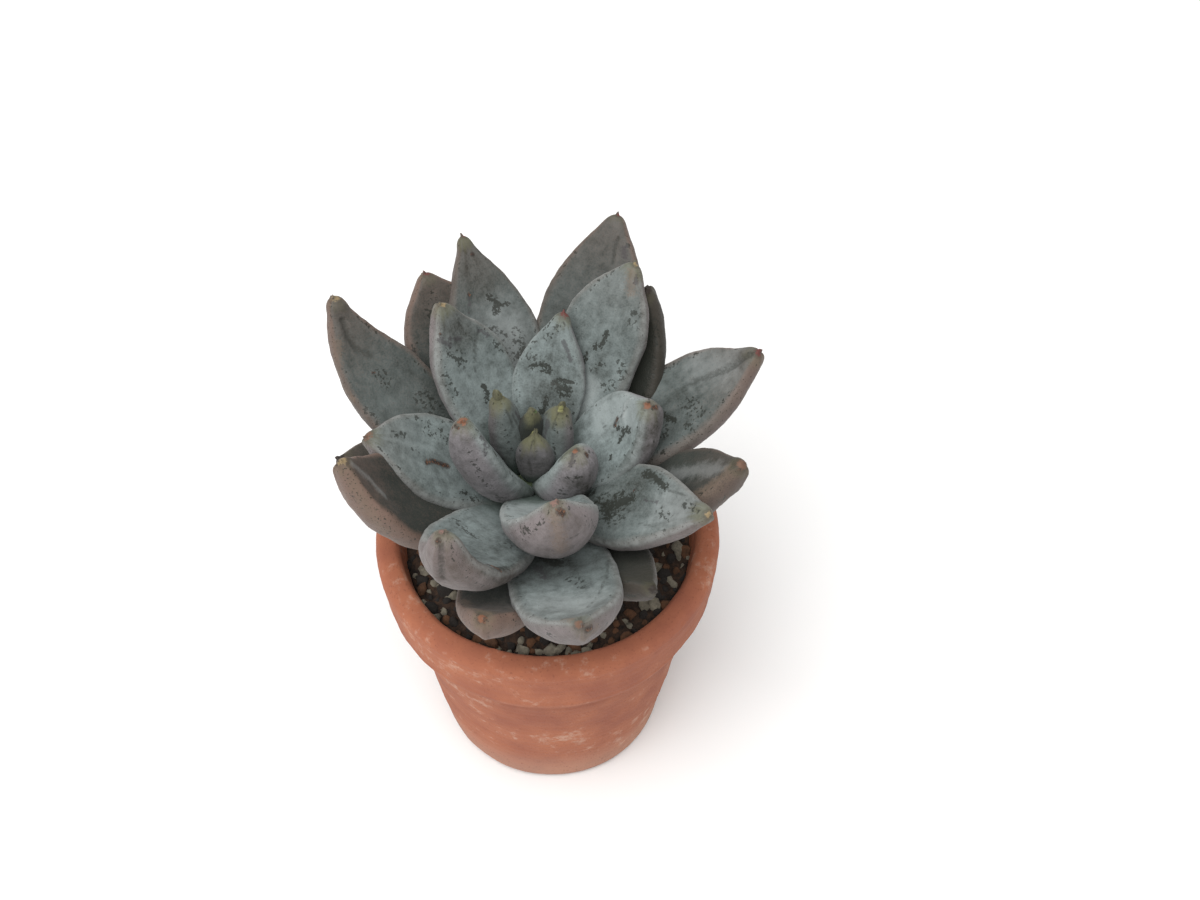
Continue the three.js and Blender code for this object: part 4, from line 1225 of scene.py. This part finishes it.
def length(name, description, size):
    """A length property with its default in millimetres."""
    return FloatProperty(name=name, description=description, unit="LENGTH", default=size * MM)


def angle(name, description, degrees):
    """An angle property with its default in degrees."""
    return FloatProperty(name=name, description=description, subtype="ANGLE", default=math.radians(degrees))


class RosetteSettings(bpy.types.PropertyGroup):
    """Sizes of the plant."""

    place: FloatVectorProperty(
        name="Place", description="Where the stem leaves the soil", subtype="TRANSLATION", unit="LENGTH",
        default=(-1 * MM, 0.7 * MM, 35 * MM),
    )
    golden_angle: angle("Golden angle", "Turn from each leaf to the next older one", 137.5)
    first_turn: angle("First turn", "Direction of the youngest leaf", 116)
    youngest_height: length("Crown height", "Height of the youngest leaf's foot", 9)
    bud_length: length("Bud length", "Length of the youngest leaf", 6)
    full_length: length("Leaf length", "Length of a grown leaf", 30)
    bud_width: length("Bud width", "Width of the youngest leaf", 2)
    full_width: length("Leaf width", "Width of a grown leaf", 11)
    bud_thickness: length("Bud thickness", "Thickness of the youngest leaf", 2)
    full_thickness: length("Leaf thickness", "Thickness of a grown leaf", 4.2)
    upright: angle("Bud rise", "Rise of the youngest leaf", 86)
    spreading: angle("Old rise", "Rise that the oldest leaves tend to", 24)
    squareness: FloatProperty(
        name="Section", description="1 is an oval section, less is boxier", default=0.85, min=0.5, max=1
    )
    waviness: length("Waviness", "How far the skin waves", 0.8)
    stem_radius: length("Stem radius", "Radius of the neck", 3)


class SkinSettings(bpy.types.PropertyGroup):
    """Colours of the plant."""

    inner_bloom: colour("Inner bloom", "Wax on the inner faces", "#7c8685")
    outer_bloom: colour("Outer bloom", "Wax on the outer faces", "#7d7a7d")
    # The thick wax colour also paints the highlight rim and the light on faces turned to the lamp
    wax: colour("Thick wax", "Where the wax is thickest", "#9b9e9d")
    # Bare skin is also the dark end that shaded leaves fall to, so it paints shade as well
    bare: colour("Bare skin", "Where the wax is rubbed off", "#242620")
    green: colour("Green", "Towards the leaf's foot", "#3c4a42")
    olive: colour("Olive", "Towards the tip", "#63624a")
    blush: colour("Blush", "Sun blush of old leaves", "#6e5a50")
    stain: colour("Stain", "Bruised places", "#383336")
    cork: colour("Cork", "Healed scars", "#6d4d3a")
    burnt: colour("Burnt", "Round scars and tips", "#2c221d")
    tan: colour("Tan", "Grainy bands of old leaves", "#6c5d50")
    bark: colour("Bark", "Corky stem", "#7c705e")
    crack: colour("Cracks", "Cracks in the bark", "#3b322a")
    green_stem: colour("Crown", "Growing end of the stem", "#6c7a5c")


class PotSettings(bpy.types.PropertyGroup):
    """Sizes and colours of the pot."""

    height: length("Height", "Height of the pot", 34)
    foot_radius: length("Foot radius", "Radius at the foot", 13)
    rim_radius: length("Rim radius", "Radius at the rim", 19)
    rim_height: length("Rim height", "Height of the rim band", 9)
    wall: length("Wall", "Thickness of the wall", 2.8)
    drain_radius: length("Drain radius", "Radius of the drain hole", 3)
    sides: IntProperty(name="Sides", description="Sides round the pot", default=192, min=24, max=256)
    clay: colour("Clay", "Fired clay", "#a9684a")
    clay_dark: colour("Dark clay", "Clouds in the clay", "#935640")
    clay_grit: colour("Sand", "Sand in the clay", "#7a4634")
    lime: colour("Lime", "Dried lime", "#c3a896")


class SoilSettings(bpy.types.PropertyGroup):
    """Sizes and colours of the soil."""

    crown: length("Crown", "How far the soil rises to the middle", 1)
    spacing: length("Spacing", "Least distance between grains", 0.85)
    least: length("Least grain", "Radius of the smallest grain", 0.32)
    most: length("Largest grain", "Radius of the largest grain", 0.95)
    roughness: length("Lumpiness", "How lumpy a grain is", 1.3)
    seed: IntProperty(name="Seed", description="Lays the grains out anew", default=7, min=0)
    peat: colour("Peat", "Light crumbs", "#453225")
    peat_dark: colour("Dark peat", "Dark crumbs", "#1e1611")
    lava: colour("Lava", "Black grains", "#2f2b28")
    akadama: colour("Baked clay", "Rust-brown grains", "#6b4a33")
    pumice: colour("Pumice", "Pale grains", "#8f8878")


class StageSettings(bpy.types.PropertyGroup):
    """Light, floor and camera."""

    floor_half: length("Floor", "Half the floor's side", 1500)
    floor: colour("Floor colour", "Background paper", "#f4f4f3")
    sky: FloatProperty(name="Sky", description="Strength of the even light", default=0.36, min=0)
    lamp_power: FloatProperty(name="Softbox", description="Its power in watts", default=4.2, min=0)
    lamp_size: length("Softbox size", "Side of the softbox", 500)
    lens: FloatProperty(name="Lens", description="Focal length in millimetres", default=52.725, min=1)
    tilt: angle("Tilt", "How far the camera looks down", 52)
    distance: length("Distance", "From the camera to the plant", 185)


class ECHEVERIA_OT_buds(bpy.types.Operator):
    """Grows the four bud leaves in the middle"""

    bl_idname = "echeveria.buds"
    bl_label = "Bud leaves"

    def execute(self, context):
        skin = leaf_skin("Bud leaf skin", context.scene.echeveria_skin, *BUD_OLIVE)
        make_leaves(context, range(BUD_LEAVES), "Bud_leaf", skin)
        return {"FINISHED"}


class ECHEVERIA_OT_inner_leaves(bpy.types.Operator):
    """Grows the short, plump leaves and the first long ones, with a thick bloom"""

    bl_idname = "echeveria.inner_leaves"
    bl_label = "Inner leaves"

    def execute(self, context):
        skin = leaf_skin("Bloomed leaf skin", context.scene.echeveria_skin, *INNER_OLIVE)
        make_leaves(context, range(BUD_LEAVES, INNER_LEAVES), "Inner_leaf", skin)
        return {"FINISHED"}


class ECHEVERIA_OT_outer_leaves(bpy.types.Operator):
    """Grows the oldest leaves, whose bloom has worn off and whose skin is also painted darker where they
    lie in shade
    """

    bl_idname = "echeveria.outer_leaves"
    bl_label = "Outer leaves"

    def execute(self, context):
        skin = leaf_skin("Weathered leaf skin", context.scene.echeveria_skin, *OUTER_OLIVE)
        make_leaves(context, range(INNER_LEAVES, LEAF_COUNT), "Outer_leaf", skin)
        return {"FINISHED"}


class ECHEVERIA_OT_stem(bpy.types.Operator):
    """Makes the stem, with the scars of fallen leaves"""

    bl_idname = "echeveria.stem"
    bl_label = "Stem"

    def execute(self, context):
        plant = context.scene.echeveria_rosette
        neck = plant.stem_radius / MM
        heights, radii = zip(*STEM_OUTLINE)
        fine = np.linspace(heights[0], heights[-1], STEM_RINGS)
        fine = np.unique(np.concatenate((fine, heights)))
        profile = np.stack((np.interp(fine, heights, radii) * neck, fine), axis=1)
        first, golden = plant.first_turn, plant.golden_angle
        place = np.array(plant.place) / MM

        def shape(points):
            round_it = np.arctan2(points[:, 1], points[:, 0])
            radius = np.hypot(points[:, 0], points[:, 1])
            lift = uneven(points * (1, 1, 0.35), BARK_GRAIN)
            for fallen in range(LEAF_COUNT, LEAF_COUNT + SCAR_COUNT):
                turn = first + golden * fallen
                height = HIGHEST_SCAR - HEIGHT_PER_LEAF * (fallen - LEAF_COUNT)
                sideways = ((round_it - turn + np.pi) % (2 * np.pi) - np.pi) * neck
                oval = (sideways / SCAR_HALF_WIDTH) ** 2 + ((points[:, 2] - height) / SCAR_HALF_HEIGHT) ** 2
                lift += SCAR_RIM * np.exp(-((oval - 0.8) ** 2) * 3) - SCAR_PIT * np.exp(-oval * 2)
            scale = 1 + lift * np.clip(radius / neck, 0, 1) / np.maximum(radius, 0.1)
            return widened(points, scale) + place

        stem = turned_solid("Stem", profile, STEM_SIDES, shape)
        stem.data.materials.append(corky_bark(context.scene.echeveria_skin))
        fit(stem, "stem")
        return {"FINISHED"}


class ECHEVERIA_OT_soil(bpy.types.Operator):
    """Fills the pot with soil and strews grit over it"""

    bl_idname = "echeveria.soil"
    bl_label = "Soil"

    def execute(self, context):
        soil, pot = context.scene.echeveria_soil, context.scene.echeveria_pot
        low, high = (corner[2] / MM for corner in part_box("soil"))
        edge = high - soil.crown / MM
        mouth = (pot.rim_radius - pot.wall) / MM
        foot = (pot.foot_radius - pot.wall) / MM
        top = pot.height / MM - 1
        at_edge = foot + (mouth - foot) * (edge - POT_FLOOR) / (top - POT_FLOOR)
        corners = [(0, low), (foot - 0.3, low), (at_edge - 0.35, edge - 3), (at_edge, edge - 0.4)]
        corners += [(at_edge - 0.3, edge), (at_edge * 0.55, edge + 0.8), (0, high)]
        profile = [corners[0]]
        for start, end in zip(corners[:-1], corners[1:]):
            count = max(1, math.ceil(math.dist(start, end) / SOIL_STEP))
            for i in range(1, count + 1):
                profile.append(tuple(a + (b - a) * i / count for a, b in zip(start, end)))

        def shape(points):
            surface = np.clip(points[:, 2] - (edge - 1), 0, 1)
            points[:, 2] += surface * (uneven(points, SOIL_LUMPS) - 0.2)
            return points

        ground = turned_solid("Soil_ground", np.array(profile), SOIL_SIDES, shape)
        bare = ground.data
        bpy.data.objects.remove(ground)
        values = {"seed": soil.seed, "material": potting_mix(soil)}
        values.update({name: getattr(soil, name) for name in GRAVEL_LENGTHS})
        piece = grow("Soil", gravel_tree(), values, bare)
        fit(piece, "soil")
        return {"FINISHED"}


class ECHEVERIA_OT_pot(bpy.types.Operator):
    """Turns the clay pot, with its rim band and drain hole"""

    bl_idname = "echeveria.pot"
    bl_label = "Pot"

    def execute(self, context):
        pot = context.scene.echeveria_pot
        names = ("height", "foot_radius", "rim_radius", "rim_height", "wall", "drain_radius")
        height, foot, rim, band, wall, drain = (getattr(pot, name) / MM for name in names)
        low = height - band
        corners = [(drain, 0), (foot - 0.8, 0), (foot, 0.8), (rim - 2.2, low), (rim - 0.7, low + 0.75)]
        corners += [(rim, height - 1), (rim - 1, height), (rim - wall + 0.5, height)]
        corners += [(rim - wall, height - 1), (foot - wall, POT_FLOOR), (drain, POT_FLOOR)]
        profile = filled(softened(corners, POT_SHARPNESS), POT_STEP)

        def shape(points):
            wall_share = np.clip(points[:, 2] / 2, 0, 1)
            turning = sum(out * np.sin(points[:, 2] * 2 * np.pi / apart) for out, apart in THROWING_RINGS)
            lift = wall_share * (turning + uneven(points, CLAY_GRAIN) - 0.08)
            for turn, inside, below, size in CHIPS:
                out = rim - inside
                chip = np.array((out * math.cos(turn), out * math.sin(turn), height - below))
                away = np.linalg.norm(points - chip, axis=1) / (size * 0.7)
                lift -= 0.45 * size * np.exp(-(away**2))
            return widened(points, 1 + lift / np.hypot(points[:, 0], points[:, 1]))

        piece = turned_ring("Clay_pot", profile, pot.sides, shape)
        piece.data.materials.append(fired_clay(pot))
        fit(piece, "pot")
        return {"FINISHED"}


class ECHEVERIA_OT_stage(bpy.types.Operator):
    """Sets the floor, the lights and the camera"""

    bl_idname = "echeveria.stage"
    bl_label = "Floor, lights and camera"

    def execute(self, context):
        scene, stage = context.scene, context.scene.echeveria_stage
        mesh = bpy.data.meshes.new("Floor")
        half = stage.floor_half
        corners = [(-half, -half, 0), (half, -half, 0), (half, half, 0), (-half, half, 0)]
        mesh.from_pydata(corners, [], [(0, 1, 2, 3)])
        mesh.materials.append(white_paper(stage.floor))
        floor = bpy.data.objects.new("Floor", mesh)
        scene.collection.objects.link(floor)

        world = bpy.data.worlds.new("Studio")
        world.use_nodes = True
        world.node_tree.nodes["Background"].inputs["Color"].default_value = (1, 1, 1, 1)
        world.node_tree.nodes["Background"].inputs["Strength"].default_value = stage.sky
        scene.world = world
        lamp = bpy.data.lights.new("Softbox", "AREA")
        lamp.shape = "SQUARE"
        lamp.size = stage.lamp_size
        lamp.energy = stage.lamp_power
        box = bpy.data.objects.new("Softbox", lamp)
        box.location = LAMP_PLACE
        box.rotation_euler = (LAMP_AIM - box.location).to_track_quat("-Z", "Y").to_euler()
        scene.collection.objects.link(box)

        camera = bpy.data.cameras.new("Camera")
        camera.lens = stage.lens
        camera.sensor_width = 36.0
        camera.clip_start = 0.01
        camera.clip_end = 10
        view = bpy.data.objects.new("Camera", camera)
        back = Vector((0, -math.cos(stage.tilt), math.sin(stage.tilt)))
        up = Vector((0, math.sin(stage.tilt), math.cos(stage.tilt)))
        middle = CROWN_MIDDLE + Vector((CAMERA_RIGHT, 0, 0)) + up * CAMERA_UP
        view.location = middle * MM + back * stage.distance
        view.rotation_euler = (math.pi / 2 - stage.tilt, 0, 0)
        scene.collection.objects.link(view)
        scene.camera = view
        scene.view_settings.view_transform = "Standard"
        return {"FINISHED"}


SETTINGS = {
    "echeveria_rosette": RosetteSettings,
    "echeveria_skin": SkinSettings,
    "echeveria_pot": PotSettings,
    "echeveria_soil": SoilSettings,
    "echeveria_stage": StageSettings,
}
STEPS = (
    ECHEVERIA_OT_stage,
    ECHEVERIA_OT_pot,
    ECHEVERIA_OT_soil,
    ECHEVERIA_OT_stem,
    ECHEVERIA_OT_buds,
    ECHEVERIA_OT_inner_leaves,
    ECHEVERIA_OT_outer_leaves,
)


class ECHEVERIA_PT_panel(bpy.types.Panel):
    """Steps that build the plant and its pot, with their sizes and colours"""

    bl_idname = "ECHEVERIA_PT_panel"
    bl_label = "Potted echeveria"
    bl_space_type = "VIEW_3D"
    bl_region_type = "UI"
    bl_category = "Echeveria"

    def draw(self, context):
        for step in STEPS:
            self.layout.operator(step.bl_idname)
        for name, kind in SETTINGS.items():
            box = self.layout.box()
            box.label(text=kind.__doc__)
            for setting in kind.__annotations__:
                box.prop(getattr(context.scene, name), setting)


CLASSES = (*SETTINGS.values(), *STEPS, ECHEVERIA_PT_panel)


def register():
    for kind in CLASSES:
        bpy.utils.register_class(kind)
    for name, kind in SETTINGS.items():
        setattr(bpy.types.Scene, name, PointerProperty(type=kind))


def unregister():
    for name in SETTINGS:
        delattr(bpy.types.Scene, name)
    for kind in reversed(CLASSES):
        bpy.utils.unregister_class(kind)


def main():
    register()
    bpy.ops.echeveria.stage()
    bpy.ops.echeveria.pot()
    bpy.ops.echeveria.soil()
    bpy.ops.echeveria.stem()
    bpy.ops.echeveria.buds()
    bpy.ops.echeveria.inner_leaves()
    bpy.ops.echeveria.outer_leaves()


if __name__ == "__main__":
    main()
